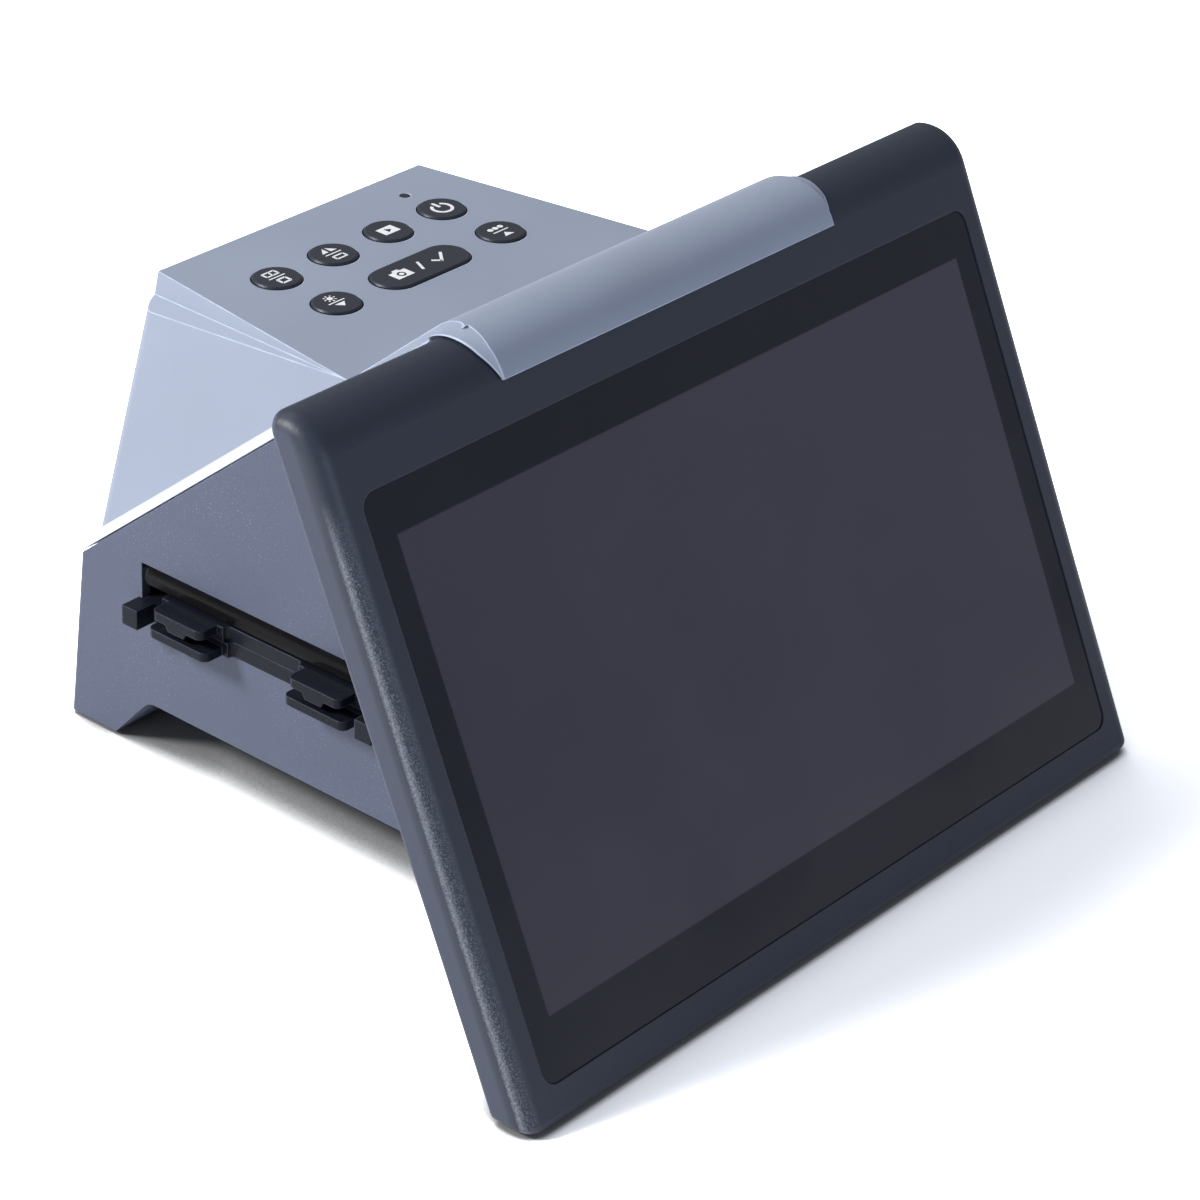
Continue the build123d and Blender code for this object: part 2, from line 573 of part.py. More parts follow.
with BuildPart() as leaf_rivets:
    with BuildSketch(SCREEN_AXIS.offset(REAR_COVER_OUT + PART_GAP)):
        with Locations(LEAF_RIVETS):
            RegularPolygon(SCREW_RADIUS, SCREW_SIDES)
    extrude(amount=HINGE_SHEET + RIVET_DEPTH - PART_GAP)
save(leaf_rivets.part, "leaf_rivets")

# ---------------------------------------------------------------- base
SWING_OPENING = Cylinder(SWING_RADIUS, 2 * REACH, rotation=(0, 90, 0), mode=Mode.PRIVATE)
SWING_OPENING = Pos(0, HINGE_Y, HINGE_Z) * SWING_OPENING


def arch_profile(thickness):
    """Side outline of the space under the base, moved up by a thickness of wall."""
    rear = ARCH_REAR_FOOT, PLASTIC_LIFT + thickness
    front = ARCH_FRONT_FOOT, PLASTIC_LIFT + thickness
    return front, (ARCH_FRONT_TOP, ARCH_HEIGHT + thickness), (ARCH_REAR_TOP, ARCH_HEIGHT + thickness), rear


with BuildPart() as base_shell:
    # outline of the side walls: rear wall, seam with the top cover, sloping front wall
    seam_front = crossing(SEAM_REAR, SEAM_ANGLE, BODY_FRONT, FACE_ANGLE)
    foot_front = crossing(BODY_FRONT, FACE_ANGLE, (0, PLASTIC_LIFT), 0)
    with BuildSketch(Plane.YZ):
        with BuildLine():
            Polyline(FOOT_REAR, SEAM_REAR, seam_front, foot_front, close=True)
        make_face()
    extrude(amount=BODY_HALF, both=True)
    upright = [edge for edge in base_shell.faces().sort_by(Axis.Y)[-1].edges()
               if edge.geom_type == GeomType.LINE and abs(edge.center().X) > BODY_INNER]
    fillet(upright, radius=BODY_CORNER_ROUND)
    # hollow, open above and below
    inner_rear = beside(BODY_REAR_FOOT, BODY_REAR_ANGLE, BODY_WALL)
    inner_front = face_point(0, LEAF_BACK)
    with BuildSketch(Plane.YZ):
        with BuildLine():
            Polyline(
                crossing(inner_rear, BODY_REAR_ANGLE, (0, -REACH), 0),
                crossing(inner_rear, BODY_REAR_ANGLE, (0, REACH), 0),
                crossing(inner_front, FACE_ANGLE, (0, REACH), 0),
                crossing(inner_front, FACE_ANGLE, (0, -REACH), 0),
                close=True,
            )
        make_face()
    extrude(amount=BODY_INNER, both=True, mode=Mode.SUBTRACT)
    # arch between the front and rear feet
    with BuildSketch(Plane.YZ) as arch:
        with BuildLine():
            Polyline((ARCH_FRONT_FOOT, -REACH), *arch_profile(0), (ARCH_REAR_FOOT, -REACH), close=True)
        make_face()
        fillet(arch.vertices().group_by(Axis.Y)[-1], radius=ARCH_ROUND)
    extrude(amount=REACH, both=True, mode=Mode.SUBTRACT)
    # room for the top of the screen unit as it tilts
    add(SWING_OPENING, mode=Mode.SUBTRACT)
    # posts for the case screws, with the holes the screws cut their thread in
    with BuildSketch(Plane.XY.offset(BOTTOM_ROOF_Z)):
        with Locations(CASE_SCREWS):
            Circle(BOSS_RADIUS)
    extrude(amount=GUIDE_Z - LEDGE_WIDTH - BOTTOM_ROOF_Z - PART_GAP)
    with BuildSketch(Plane.XY.offset(BOTTOM_ROOF_Z)):
        with Locations(CASE_SCREWS):
            Circle(SCREW_RADIUS + SCREW_CLEARANCE)
    extrude(amount=CASE_SCREW_LENGTH, mode=Mode.SUBTRACT)
    # ledges that carry the film guide
    with BuildSketch(Plane.XY.offset(GUIDE_Z - LEDGE_WIDTH)):
        with Locations([(x, FILM_CENTRE_Y) for x in both_sides(BODY_INNER - LEDGE_WIDTH / 2)]):
            Rectangle(LEDGE_WIDTH, SLOT_WIDTH)
    extrude(amount=LEDGE_WIDTH)
    # film slots through both side walls, and the bearing holes of the dust flaps
    with BuildSketch(Plane.YZ) as slots:
        with Locations((FILM_CENTRE_Y, (SLOT_BOTTOM_Z + SLOT_TOP_Z) / 2)):
            Rectangle(SLOT_WIDTH, SLOT_TOP_Z - SLOT_BOTTOM_Z)
    extrude(amount=REACH, both=True, mode=Mode.SUBTRACT)
    with Locations([Location((x, FILM_CENTRE_Y, FLAP_PIVOT_Z), (90, 0, 0)) for x in both_sides(FLAP_X)]):
        Cylinder(FLAP_PIN_RADIUS + SCREW_CLEARANCE, SLOT_WIDTH + 2 * FLAP_BEARING + PART_GAP, mode=Mode.SUBTRACT)
    with Locations([SCREEN_AXIS.location * Pos(x, up, LEAF_BACK) for x in both_sides(HINGE_X)
                    for up in BODY_LEAF_HOLES]):
        Cylinder(SCREW_RADIUS + SCREW_CLEARANCE, 2 * BODY_WALL + EPS, mode=Mode.SUBTRACT)
    # openings for the sockets in the rear wall
    with BuildSketch(Plane.XZ.offset(-SOCKET_REAR_Y - EPS)):
        for x, width, height, depth in SOCKETS.values():
            with Locations((x, MAIN_BOARD_TOP + height / 2)):
                Rectangle(width + 2 * PART_GAP, height + 2 * PART_GAP)
    extrude(amount=2 * BODY_WALL + EPS, mode=Mode.SUBTRACT)
save(base_shell.part, "base_shell")

with BuildPart() as bottom_cover:
    # one formed panel: front foot, arch roof, rear foot
    with BuildSketch(Plane.YZ) as panel:
        low, high = PLASTIC_LIFT, PLASTIC_LIFT + BODY_WALL
        rear_inset = beside(inner_rear, BODY_REAR_ANGLE, PART_GAP)
        front_inset = face_point(0, LEAF_BACK - PART_GAP)
        with BuildLine():
            Polyline(
                crossing(front_inset, FACE_ANGLE, (0, low), 0),
                *arch_profile(0),
                crossing(rear_inset, BODY_REAR_ANGLE, (0, low), 0),
                crossing(rear_inset, BODY_REAR_ANGLE, (0, high), 0),
                *reversed(arch_profile(BODY_WALL)),
                crossing(front_inset, FACE_ANGLE, (0, high), 0),
                close=True,
            )
        make_face()
        fillet(panel.vertices().group_by(Axis.Y)[-2], radius=ARCH_ROUND)
    extrude(amount=BODY_INNER - PART_GAP, both=True)
    with BuildSketch(Plane.XY.offset(BOTTOM_ROOF_Z)):
        with Locations(BOARD_SCREWS):
            Circle(STANDOFF_RADIUS)
    extrude(amount=BOARD_STANDOFF)
    with BuildSketch(Plane.XY.offset(BOTTOM_ROOF_Z)):
        with Locations(BOARD_SCREWS):
            Circle(SCREW_RADIUS + SCREW_CLEARANCE)
    extrude(amount=BOARD_STANDOFF, mode=Mode.SUBTRACT)
    with BuildSketch(Plane.XY.offset(ARCH_HEIGHT)):
        with Locations(CASE_SCREWS):
            Circle(SCREW_RADIUS + HEAD_CLEARANCE)
    extrude(amount=BODY_WALL, mode=Mode.SUBTRACT)
    with BuildSketch(Plane.XY.offset(ARCH_HEIGHT)):
        with Locations(CASE_SCREWS):
            Circle(SCREW_HEAD_RADIUS + HEAD_CLEARANCE)
    extrude(amount=SCREW_HEAD_HEIGHT + PART_GAP / 2, mode=Mode.SUBTRACT)
    with BuildSketch():
        with Locations(FEET):
            Circle(FOOT_RADIUS + PART_GAP)
    extrude(amount=FOOT_THICKNESS, mode=Mode.SUBTRACT)
save(bottom_cover.part, "bottom_cover")

with BuildPart() as rubber_feet:
    with BuildSketch():
        with Locations(FEET):
            Circle(FOOT_RADIUS)
    extrude(amount=FOOT_THICKNESS)
save(rubber_feet.part, "rubber_feet")

case_screws = screws(
    [Plane(origin=(x, y, ARCH_HEIGHT + SCREW_HEAD_HEIGHT + PART_GAP / 2), z_dir=(0, 0, -1)) for x, y in CASE_SCREWS],
    CASE_SCREW_LENGTH, SCREW_HEAD_RADIUS, SCREW_HEAD_HEIGHT)
save(case_screws, "case_screws")


# ---------------------------------------------------------------- top cover
SEAM_PLANE = Plane(origin=(0, *SEAM_REAR), x_dir=(1, 0, 0),
                   z_dir=(0, sin(radians(SEAM_SLOPE)), cos(radians(SEAM_SLOPE))))
# the seam's length from the rear edge up to the top of the hood
SEAM_RUN = hypot(SEAM_REAR[0] - ROUND_CENTRE[0], ROUND_CENTRE[1] - SEAM_REAR[1]) + HOOD_RADIUS


def cover_outline(rear, rear_angle):
    """Side outline of the top cover: hood, ramp, deck, a rear face, and the seam below."""
    lip_outer = face_point(HOOD_LIP_UP, HOOD_GAP + HOOD_LIP_THICKNESS)
    lip_inner = face_point(HOOD_LIP_UP, HOOD_GAP)
    with BuildSketch(Plane.YZ) as outline:
        with BuildLine():
            Polyline(
                lip_outer,
                crossing(lip_outer, FACE_ANGLE, RAMP_POINT, RAMP_ANGLE),
                DECK_FRONT,
                crossing(DECK_REAR, 0, rear, rear_angle),
                crossing(rear, rear_angle, SEAM_REAR, SEAM_ANGLE),
                seam_front,
                (HINGE_Y, HINGE_Z),
                lip_inner,
                close=True,
            )
        make_face()
        fillet(outline.vertices().sort_by(Axis.Y)[-1], radius=HOOD_RADIUS)
    return outline.sketch


def taper_sides(form, side_inset, upper_inset, ledge_inset, corner_round):
    """The form between the slanted side faces, with the step along each upper side cut out."""
    with BuildPart() as tapered:
        add(form)
        for side in (-1, 1):
            apex = (side * APEX_HALF_WIDTH, APEX_Y, DECK_Z)
            side_face = Plane(apex, z_dir=(side, tan(radians(SIDE_PLAN_TAPER)), tan(radians(SIDE_DRAFT))))
            split(bisect_by=side_face.offset(-side_inset), keep=Keep.BOTTOM)
        rear_corners = tapered.faces().sort_by(Axis.Y)[-1].edges().sort_by(Axis.X)
        fillet([rear_corners[0], rear_corners[-1]], radius=corner_round)
    for side in (-1, 1):
        apex = (side * APEX_HALF_WIDTH, APEX_Y, DECK_Z)
        upper_face = Plane(apex, z_dir=(side, tan(radians(UPPER_PLAN_TAPER)), tan(radians(UPPER_DRAFT))))
        ledge = Plane(apex, z_dir=(side * tan(radians(LEDGE_SIDE_FALL)), tan(radians(LEDGE_REAR_FALL)), 1))
        with BuildPart() as step:
            with Locations(apex):
                Box(REACH, 2 * REACH, REACH)
            split(bisect_by=upper_face.offset(-upper_inset), keep=Keep.TOP)
            split(bisect_by=ledge.offset(-ledge_inset), keep=Keep.TOP)
        with BuildPart() as stepped:
            add(tapered.part)
            add(step.part, mode=Mode.SUBTRACT)
        tapered = stepped
    return tapered.part


with BuildPart() as cover_block:
    extrude(cover_outline(DECK_REAR, COVER_REAR_ANGLE), amount=BODY_HALF, both=True)

# the bright bevelled edge that stands out to the base all along the seam
with BuildPart() as flare:
    with BuildSketch(SEAM_PLANE.offset(SEAM_GROOVE)):
        with Locations((0, -SEAM_RUN / 2)):
            Rectangle(BODY_WIDTH, SEAM_RUN)
    extrude(amount=COVER_FLARE, taper=FLARE_SLOPE)
    extrude(cover_outline(BODY_REAR_FOOT, BODY_REAR_ANGLE), amount=BODY_HALF, both=True, mode=Mode.INTERSECT)

# inside of the cover behind the swing room of the screen
with BuildPart() as cover_inside:
    rear_inner = beside(DECK_REAR, COVER_REAR_ANGLE, COVER_WALL)
    with BuildSketch(Plane.YZ):
        with BuildLine():
            Polyline(
                (HINGE_Y, HINGE_Z),
                RAMP_INNER_POINT,
                crossing(RAMP_INNER_POINT, RAMP_ANGLE, (0, DECK_INNER_Z), 0),
                crossing((0, DECK_INNER_Z), 0, rear_inner, COVER_REAR_ANGLE),
                crossing((0, 0), 0, rear_inner, COVER_REAR_ANGLE),
                (HINGE_Y, 0),
                close=True,
            )
        make_face()
    extrude(amount=BODY_HALF, both=True)

with BuildPart() as top_cover:
    add(taper_sides(cover_block.part, 0, 0, 0, COVER_CORNER_ROUND))
    add(flare.part)
    inner_round = COVER_CORNER_ROUND - COVER_WALL
    add(taper_sides(cover_inside.part, COVER_WALL, UPPER_WALL, COVER_WALL, inner_round), mode=Mode.SUBTRACT)
    # the screen's rounded top turns inside the hood
    with BuildSketch(Plane.YZ) as swing_room:
        with BuildLine():
            Polyline(
                face_point(0, HOOD_GAP),
                crossing(face_point(0, HOOD_GAP), FACE_ANGLE, RAMP_INNER_POINT, RAMP_ANGLE),
                crossing(RAMP_INNER_POINT, RAMP_ANGLE, (0, 0), 0),
                close=True,
            )
        make_face()
        fillet(swing_room.vertices().sort_by(Axis.Y)[-1], radius=HOOD_RADIUS - HOOD_LIP_THICKNESS)
        with Locations((HINGE_Y, HINGE_Z)):
            Circle(SWING_RADIUS, mode=Mode.INTERSECT)
    extrude(amount=REACH, both=True, mode=Mode.SUBTRACT)
    # holes for the buttons, the capture bar and the status light
    with BuildSketch(Plane.XY.offset(DECK_INNER_Z - EPS)):
        with Locations(list(BUTTON_ROWS.values())):
            Circle(BUTTON_RADIUS + BUTTON_CLEARANCE)
        with Locations(CAPTURE_POINT):
            SlotOverall(CAPTURE_LENGTH + 2 * BUTTON_CLEARANCE, 2 * (BUTTON_RADIUS + BUTTON_CLEARANCE))
        with Locations((LIGHT_PIPE_X, LIGHT_PIPE_Y)):
            Circle(LIGHT_PIPE_RADIUS + PART_GAP)
    extrude(amount=DECK_THICKNESS + 2 * EPS, mode=Mode.SUBTRACT)
    # posts that the button board is screwed to
    with BuildSketch(Plane.XY.offset(BUTTON_BOARD_TOP)):
        with Locations(BUTTON_SCREWS):
            Circle(STANDOFF_RADIUS)
    extrude(amount=DECK_INNER_Z - BUTTON_BOARD_TOP)
    with BuildSketch(Plane.XY.offset(BUTTON_BOARD_TOP)):
        with Locations(BUTTON_SCREWS):
            Circle(SCREW_RADIUS + SCREW_CLEARANCE)
    extrude(amount=BOARD_SCREW_LENGTH + PART_GAP, mode=Mode.SUBTRACT)
save(top_cover.part, "top_cover")


# ---------------------------------------------------------------- buttons
def push_button(place, length):
    """A button with a bevelled cap, a square flange that stops it under the deck, and a square stem."""
    with BuildPart() as button:
        with BuildSketch(Plane.XY.offset(BUTTON_FLANGE_Z)):
            with Locations(place):
                SlotOverall(length, 2 * BUTTON_RADIUS) if length else Circle(BUTTON_RADIUS)
        extrude(amount=DECK_Z + BUTTON_PROUD - BUTTON_FLANGE_Z)
        chamfer(button.faces().sort_by(Axis.Z)[-1].edges(), length=BUTTON_EDGE_BEVEL)
        with BuildSketch(Plane.XY.offset(BUTTON_FLANGE_Z)):
            with Locations(place):
                Rectangle(max(length, 2 * BUTTON_RADIUS) + 2 * BUTTON_FLANGE, 2 * (BUTTON_RADIUS + BUTTON_FLANGE))
        extrude(amount=BUTTON_FLANGE_THICKNESS)
        with BuildSketch(Plane.XY.offset(STEM_Z)):
            with Locations(place):
                Rectangle(BUTTON_STEM_SIZE, BUTTON_STEM_SIZE)
        extrude(amount=BUTTON_STEM_LENGTH)
    return button.part


for button_name, place in BUTTON_ROWS.items():
    save(push_button(place, 0), button_name)
save(push_button(CAPTURE_POINT, CAPTURE_LENGTH), "capture_button")

with BuildPart() as button_board:
    with BuildSketch(Plane.XY.offset(BUTTON_BOARD_TOP)):
        with Locations((0, BUTTON_BOARD_Y)):
            Rectangle(BUTTON_BOARD_WIDTH, BUTTON_BOARD_DEPTH)
        with Locations(BUTTON_SCREWS):
            Circle(SCREW_RADIUS + SCREW_CLEARANCE, mode=Mode.SUBTRACT)
    extrude(amount=-BOARD_THICKNESS)
save(button_board.part, "button_board")

with BuildPart() as tact_switches:
    switch_places = [*BUTTON_ROWS.values(), CAPTURE_POINT]
    with BuildSketch(Plane.XY.offset(BUTTON_BOARD_TOP)):
        with Locations(switch_places):
            Rectangle(SWITCH_SIZE, SWITCH_SIZE)
    extrude(amount=SWITCH_HEIGHT)
    with BuildSketch(Plane.XY.offset(BUTTON_BOARD_TOP + SWITCH_HEIGHT)):
        with Locations(switch_places):
            RegularPolygon(SWITCH_PLUNGER_RADIUS, SCREW_SIDES)
    extrude(amount=SWITCH_PLUNGER_HEIGHT)
save(tact_switches.part, "tact_switches")

button_board_screws = screws(
    [Plane(origin=(x, y, BUTTON_BOARD_TOP - BOARD_THICKNESS), z_dir=(0, 0, -1)) for x, y in BUTTON_SCREWS],
    BOARD_THICKNESS + BOARD_SCREW_LENGTH, SCREW_HEAD_RADIUS, SCREW_HEAD_HEIGHT)
save(button_board_screws, "button_board_screws")

with BuildPart() as status_light:
    with BuildSketch(Plane.XY.offset(BUTTON_BOARD_TOP)):
        with Locations((LIGHT_PIPE_X, LIGHT_PIPE_Y)):
            Circle(LIGHT_PIPE_RADIUS)
    extrude(amount=DECK_Z - BUTTON_BOARD_TOP)
    with BuildSketch(Plane.XY.offset(BUTTON_BOARD_TOP)):
        with Locations((LIGHT_PIPE_X, LIGHT_PIPE_Y)):
            Rectangle(LIGHT_PIPE_FOOT, LIGHT_PIPE_FOOT)
    extrude(amount=SWITCH_HEIGHT)
save(status_light.part, "status_light")

# ---------------------------------------------------------------- film path
with BuildPart() as film_guide:
    guide_width = 2 * (BODY_INNER - GUIDE_END_GAP)
    with BuildSketch(Plane.XY.offset(GUIDE_Z)):
        with Locations((0, FILM_CENTRE_Y)):
            Rectangle(guide_width, SLOT_WIDTH + 2 * GUIDE_RAIL)
            Rectangle(FRAME_WIDTH + GUIDE_PLATE, FRAME_HEIGHT + GUIDE_PLATE, mode=Mode.SUBTRACT)
    extrude(amount=GUIDE_PLATE)
    with BuildSketch(Plane.XY.offset(SLOT_BOTTOM_Z)):
        for side in (-1, 1):
            with Locations((0, FILM_CENTRE_Y + side * (SLOT_WIDTH + GUIDE_RAIL) / 2)):
                Rectangle(guide_width, GUIDE_RAIL)
    extrude(amount=GUIDE_RAIL_TOP_Z - SLOT_BOTTOM_Z)
save(film_guide.part, "film_guide")

HOLDER_BODY_LENGTH = HOLDER_LENGTH - 2 * HOLDER_TAB_DEPTH
TAB_LENGTH = HOLDER_TAB_DEPTH + HOLDER_TAB_ROOT
TAB_PLACES = [(end * (HOLDER_LENGTH - TAB_LENGTH) / 2, FILM_CENTRE_Y + side * HOLDER_TAB_SPACING / 2)
              for end in (-1, 1) for side in (-1, 1)]
LUG_PLACES = [(end * (HOLDER_LENGTH - HOLDER_TAB_DEPTH) / 2,
               FILM_CENTRE_Y + side * (HOLDER_WIDTH - HOLDER_LUG_WIDTH) / 2)
              for end in (-1, 1) for side in (-1, 1)]
# two pins across a diagonal, which line the frames up
HOLDER_PINS = [(end * (HOLDER_BODY_LENGTH / 2 - HOLDER_LUG_WIDTH),
                FILM_CENTRE_Y + end * (HOLDER_UPPER_WIDTH / 2 - HOLDER_LUG_WIDTH)) for end in (-1, 1)]


def holder_outline(width, tab_width, lugs):
    """One frame of the holder from above: a plate with two rounded tongues at each end."""
    with BuildSketch() as outline:
        with Locations((0, FILM_CENTRE_Y)):
            Rectangle(HOLDER_BODY_LENGTH, width)
        with Locations(TAB_PLACES):
            RectangleRounded(TAB_LENGTH, tab_width, HOLDER_TAB_ROUND)
        if lugs:
            with Locations(LUG_PLACES):
                Rectangle(HOLDER_TAB_DEPTH, HOLDER_LUG_WIDTH)
        # a shallow bay between the tongues, where the finger meets the film's edge
        with Locations([(end * HOLDER_BODY_LENGTH / 2, FILM_CENTRE_Y) for end in (-1, 1)]):
            RectangleRounded(2 * HOLDER_BAY_DEPTH, HOLDER_TAB_SPACING - tab_width - 2 * HOLDER_TAB_ROUND,
                             HOLDER_BAY_ROUND, mode=Mode.SUBTRACT)
    return outline.sketch


def outside_plate(level, height):
    """Room above or below the tongues, past the ends of the plate."""
    with BuildPart() as room:
        for end in (-1, 1):
            with Locations((end * (HOLDER_LENGTH / 2), FILM_CENTRE_Y, level)):
                Box(2 * HOLDER_TAB_DEPTH, HOLDER_TAB_SPACING + HOLDER_TAB_WIDTH + HOLDER_TAB_ROUND, height,
                    align=(Align.CENTER, Align.CENTER, Align.MIN))
    return room.part


with BuildPart() as holder_lower_frame:
    extrude(Plane.XY.offset(HOLDER_Z) * holder_outline(HOLDER_WIDTH, HOLDER_TAB_WIDTH, True),
            amount=HOLDER_FRAME_THICKNESS)
    # the lower tongues are thinner than the plate, which leaves a slot to part the frames
    add(outside_plate(HOLDER_Z + HOLDER_TAB_THICKNESS, HOLDER_FRAME_THICKNESS), mode=Mode.SUBTRACT)
    with BuildSketch(Plane.XY.offset(HOLDER_Z)):
        with Locations(LUG_PLACES):
            Rectangle(HOLDER_TAB_DEPTH, HOLDER_LUG_WIDTH)
    extrude(amount=HOLDER_LUG_HEIGHT)
    with BuildSketch(Plane.XY.offset(HOLDER_MID_Z - SLIDE_DEPTH)):
        with Locations((0, FILM_CENTRE_Y)):
            Rectangle(SLIDE_SIZE, SLIDE_SIZE)
    extrude(amount=SLIDE_DEPTH, mode=Mode.SUBTRACT)
    with BuildSketch(Plane.XY.offset(HOLDER_Z)):
        with Locations((0, FILM_CENTRE_Y)):
            Rectangle(FRAME_WIDTH, FRAME_HEIGHT)
    extrude(amount=HOLDER_FRAME_THICKNESS, mode=Mode.SUBTRACT)
    with BuildSketch(Plane.XY.offset(HOLDER_MID_Z)):
        with Locations(HOLDER_PINS):
            Circle(HOLDER_PIN_RADIUS + SCREW_CLEARANCE)
    extrude(amount=-HOLDER_PIN_LENGTH / 2, mode=Mode.SUBTRACT)
save(holder_lower_frame.part, "holder_lower_frame")

with BuildPart() as holder_upper_frame:
    extrude(Plane.XY.offset(HOLDER_MID_Z) * holder_outline(HOLDER_UPPER_WIDTH, HOLDER_UPPER_TAB_WIDTH, False),
            amount=HOLDER_FRAME_THICKNESS)
    # the upper tongues are cut away below, with a nib left under the middle of each
    with BuildSketch(Plane.YZ) as undercut:
        for side in (-1, 1):
            with Locations((FILM_CENTRE_Y + side * HOLDER_TAB_SPACING / 2, HOLDER_MID_Z)):
                Rectangle(HOLDER_UPPER_TAB_WIDTH + EPS, 2 * (HOLDER_FRAME_THICKNESS - HOLDER_TAB_THICKNESS))
                Trapezoid(HOLDER_NIB_WIDTH, 2 * (HOLDER_FRAME_THICKNESS - HOLDER_TAB_THICKNESS) + EPS,
                          HOLDER_NIB_SLOPE, mode=Mode.SUBTRACT, rotation=180)
    for end in (-1, 1):
        extrude(Pos(end * HOLDER_LENGTH / 2, 0, 0) * undercut.sketch, amount=HOLDER_TAB_DEPTH, both=True,
                mode=Mode.SUBTRACT)
    with BuildSketch(Plane.XY.offset(HOLDER_MID_Z)):
        with Locations((0, FILM_CENTRE_Y)):
            Rectangle(FRAME_WIDTH, FRAME_HEIGHT)
    extrude(amount=HOLDER_FRAME_THICKNESS, mode=Mode.SUBTRACT)
    with BuildSketch(Plane.XY.offset(HOLDER_MID_Z)):
        with Locations(HOLDER_PINS):
            Circle(HOLDER_PIN_RADIUS + SCREW_CLEARANCE)
    extrude(amount=HOLDER_PIN_LENGTH / 2, mode=Mode.SUBTRACT)
save(holder_upper_frame.part, "holder_upper_frame")

with BuildPart() as holder_pins:
    with BuildSketch(Plane.XY.offset(HOLDER_MID_Z - HOLDER_PIN_LENGTH / 2 + SCREW_CLEARANCE)):
        with Locations(HOLDER_PINS):
            Circle(HOLDER_PIN_RADIUS)
    extrude(amount=HOLDER_PIN_LENGTH - 2 * SCREW_CLEARANCE)
save(holder_pins.part, "holder_pins")


def dust_flap(x):
    """A strip that hangs in a slot from two end pins, its top edge rounded about them."""
    with BuildPart() as flap:
        with BuildSketch(Plane.XZ.offset(-FILM_CENTRE_Y + FLAP_LENGTH / 2)):
            with Locations((x, FLAP_PIVOT_Z)):
                Circle(FLAP_THICKNESS / 2)
            with Locations((x, (FLAP_PIVOT_Z + HOLDER_TOP_Z + FLAP_GAP) / 2)):
                Rectangle(FLAP_THICKNESS, FLAP_PIVOT_Z - HOLDER_TOP_Z - FLAP_GAP)
        extrude(amount=-FLAP_LENGTH)
        # the lower corners are rounded
        fillet(flap.edges().filter_by(Axis.X).group_by(Axis.Z)[0], radius=FLAP_CORNER_ROUND)
        with BuildSketch(Plane.XZ.offset(-FILM_CENTRE_Y + SLOT_WIDTH / 2 + FLAP_BEARING)):
            with Locations((x, FLAP_PIVOT_Z)):
                Circle(FLAP_PIN_RADIUS)
        extrude(amount=-SLOT_WIDTH - 2 * FLAP_BEARING)
    return flap.part


save(dust_flap(-FLAP_X), "left_flap")
save(dust_flap(FLAP_X), "right_flap")

# ---------------------------------------------------------------- light box
LIGHT_BOX_Z = GUIDE_Z - LIGHT_BOX_HEIGHT
LIGHT_INNER_WIDTH = LIGHT_BOX_WIDTH - 2 * LIGHT_BOX_WALL
LIGHT_INNER_DEPTH = LIGHT_BOX_DEPTH - 2 * LIGHT_BOX_WALL
with BuildPart() as light_frame:
    with BuildSketch(Plane.XY.offset(LIGHT_BOX_Z)):
        with Locations((0, FILM_CENTRE_Y)):
            Rectangle(LIGHT_BOX_WIDTH, LIGHT_BOX_DEPTH)
            Rectangle(LIGHT_INNER_WIDTH, LIGHT_INNER_DEPTH, mode=Mode.SUBTRACT)
    extrude(amount=LIGHT_BOX_HEIGHT)
save(light_frame.part, "light_frame")

with BuildPart() as light_panel:
    with BuildSketch(Plane.XY.offset(LIGHT_BOX_Z)):
        with Locations((0, FILM_CENTRE_Y)):
            Rectangle(LIGHT_INNER_WIDTH - PART_GAP, LIGHT_INNER_DEPTH - PART_GAP)
    extrude(amount=LIGHT_BOARD_THICKNESS)
    with BuildSketch(Plane.XY.offset(LIGHT_BOX_Z + LIGHT_BOARD_THICKNESS)):
        with Locations((0, FILM_CENTRE_Y)):
            with GridLocations(LED_PITCH, LED_PITCH, LED_COLUMNS, LED_ROWS):
                Rectangle(LED_SIZE, LED_SIZE)
    extrude(amount=LED_HEIGHT)
save(light_panel.part, "light_panel")

with BuildPart() as diffuser:
    with BuildSketch(Plane.XY.offset(GUIDE_Z)):
        with Locations((0, FILM_CENTRE_Y)):
            Rectangle(LIGHT_INNER_WIDTH - PART_GAP, LIGHT_INNER_DEPTH - PART_GAP)
    extrude(amount=-DIFFUSER_THICKNESS)
save(diffuser.part, "diffuser")

# ---------------------------------------------------------------- camera
CHIMNEY_Z = GUIDE_RAIL_TOP_Z + CHIMNEY_BASE_THICKNESS
CHIMNEY_TOP_Z = CHIMNEY_Z + CHIMNEY_HEIGHT
SENSOR_BOARD_Z = CHIMNEY_TOP_Z + CHIMNEY_WALL
CHIMNEY_NARROWING_X = (CHIMNEY_BOTTOM_WIDTH - CHIMNEY_TOP_SIZE) / 2
CHIMNEY_NARROWING_Y = (CHIMNEY_BOTTOM_DEPTH - CHIMNEY_TOP_SIZE) / 2


def chimney_form(wall, height):
    """The chimney's tapering form round its inside, one wall larger all round, standing on the plate."""
    width = CHIMNEY_BOTTOM_WIDTH + 2 * wall
    depth = CHIMNEY_BOTTOM_DEPTH + 2 * wall
    return Location((0, FILM_CENTRE_Y, CHIMNEY_Z)) * Wedge(
        width, height, depth,
        CHIMNEY_NARROWING_X, CHIMNEY_NARROWING_Y, width - CHIMNEY_NARROWING_X, depth - CHIMNEY_NARROWING_Y,
        rotation=(90, 0, 0), align=(Align.CENTER, Align.MIN, Align.CENTER), mode=Mode.PRIVATE)


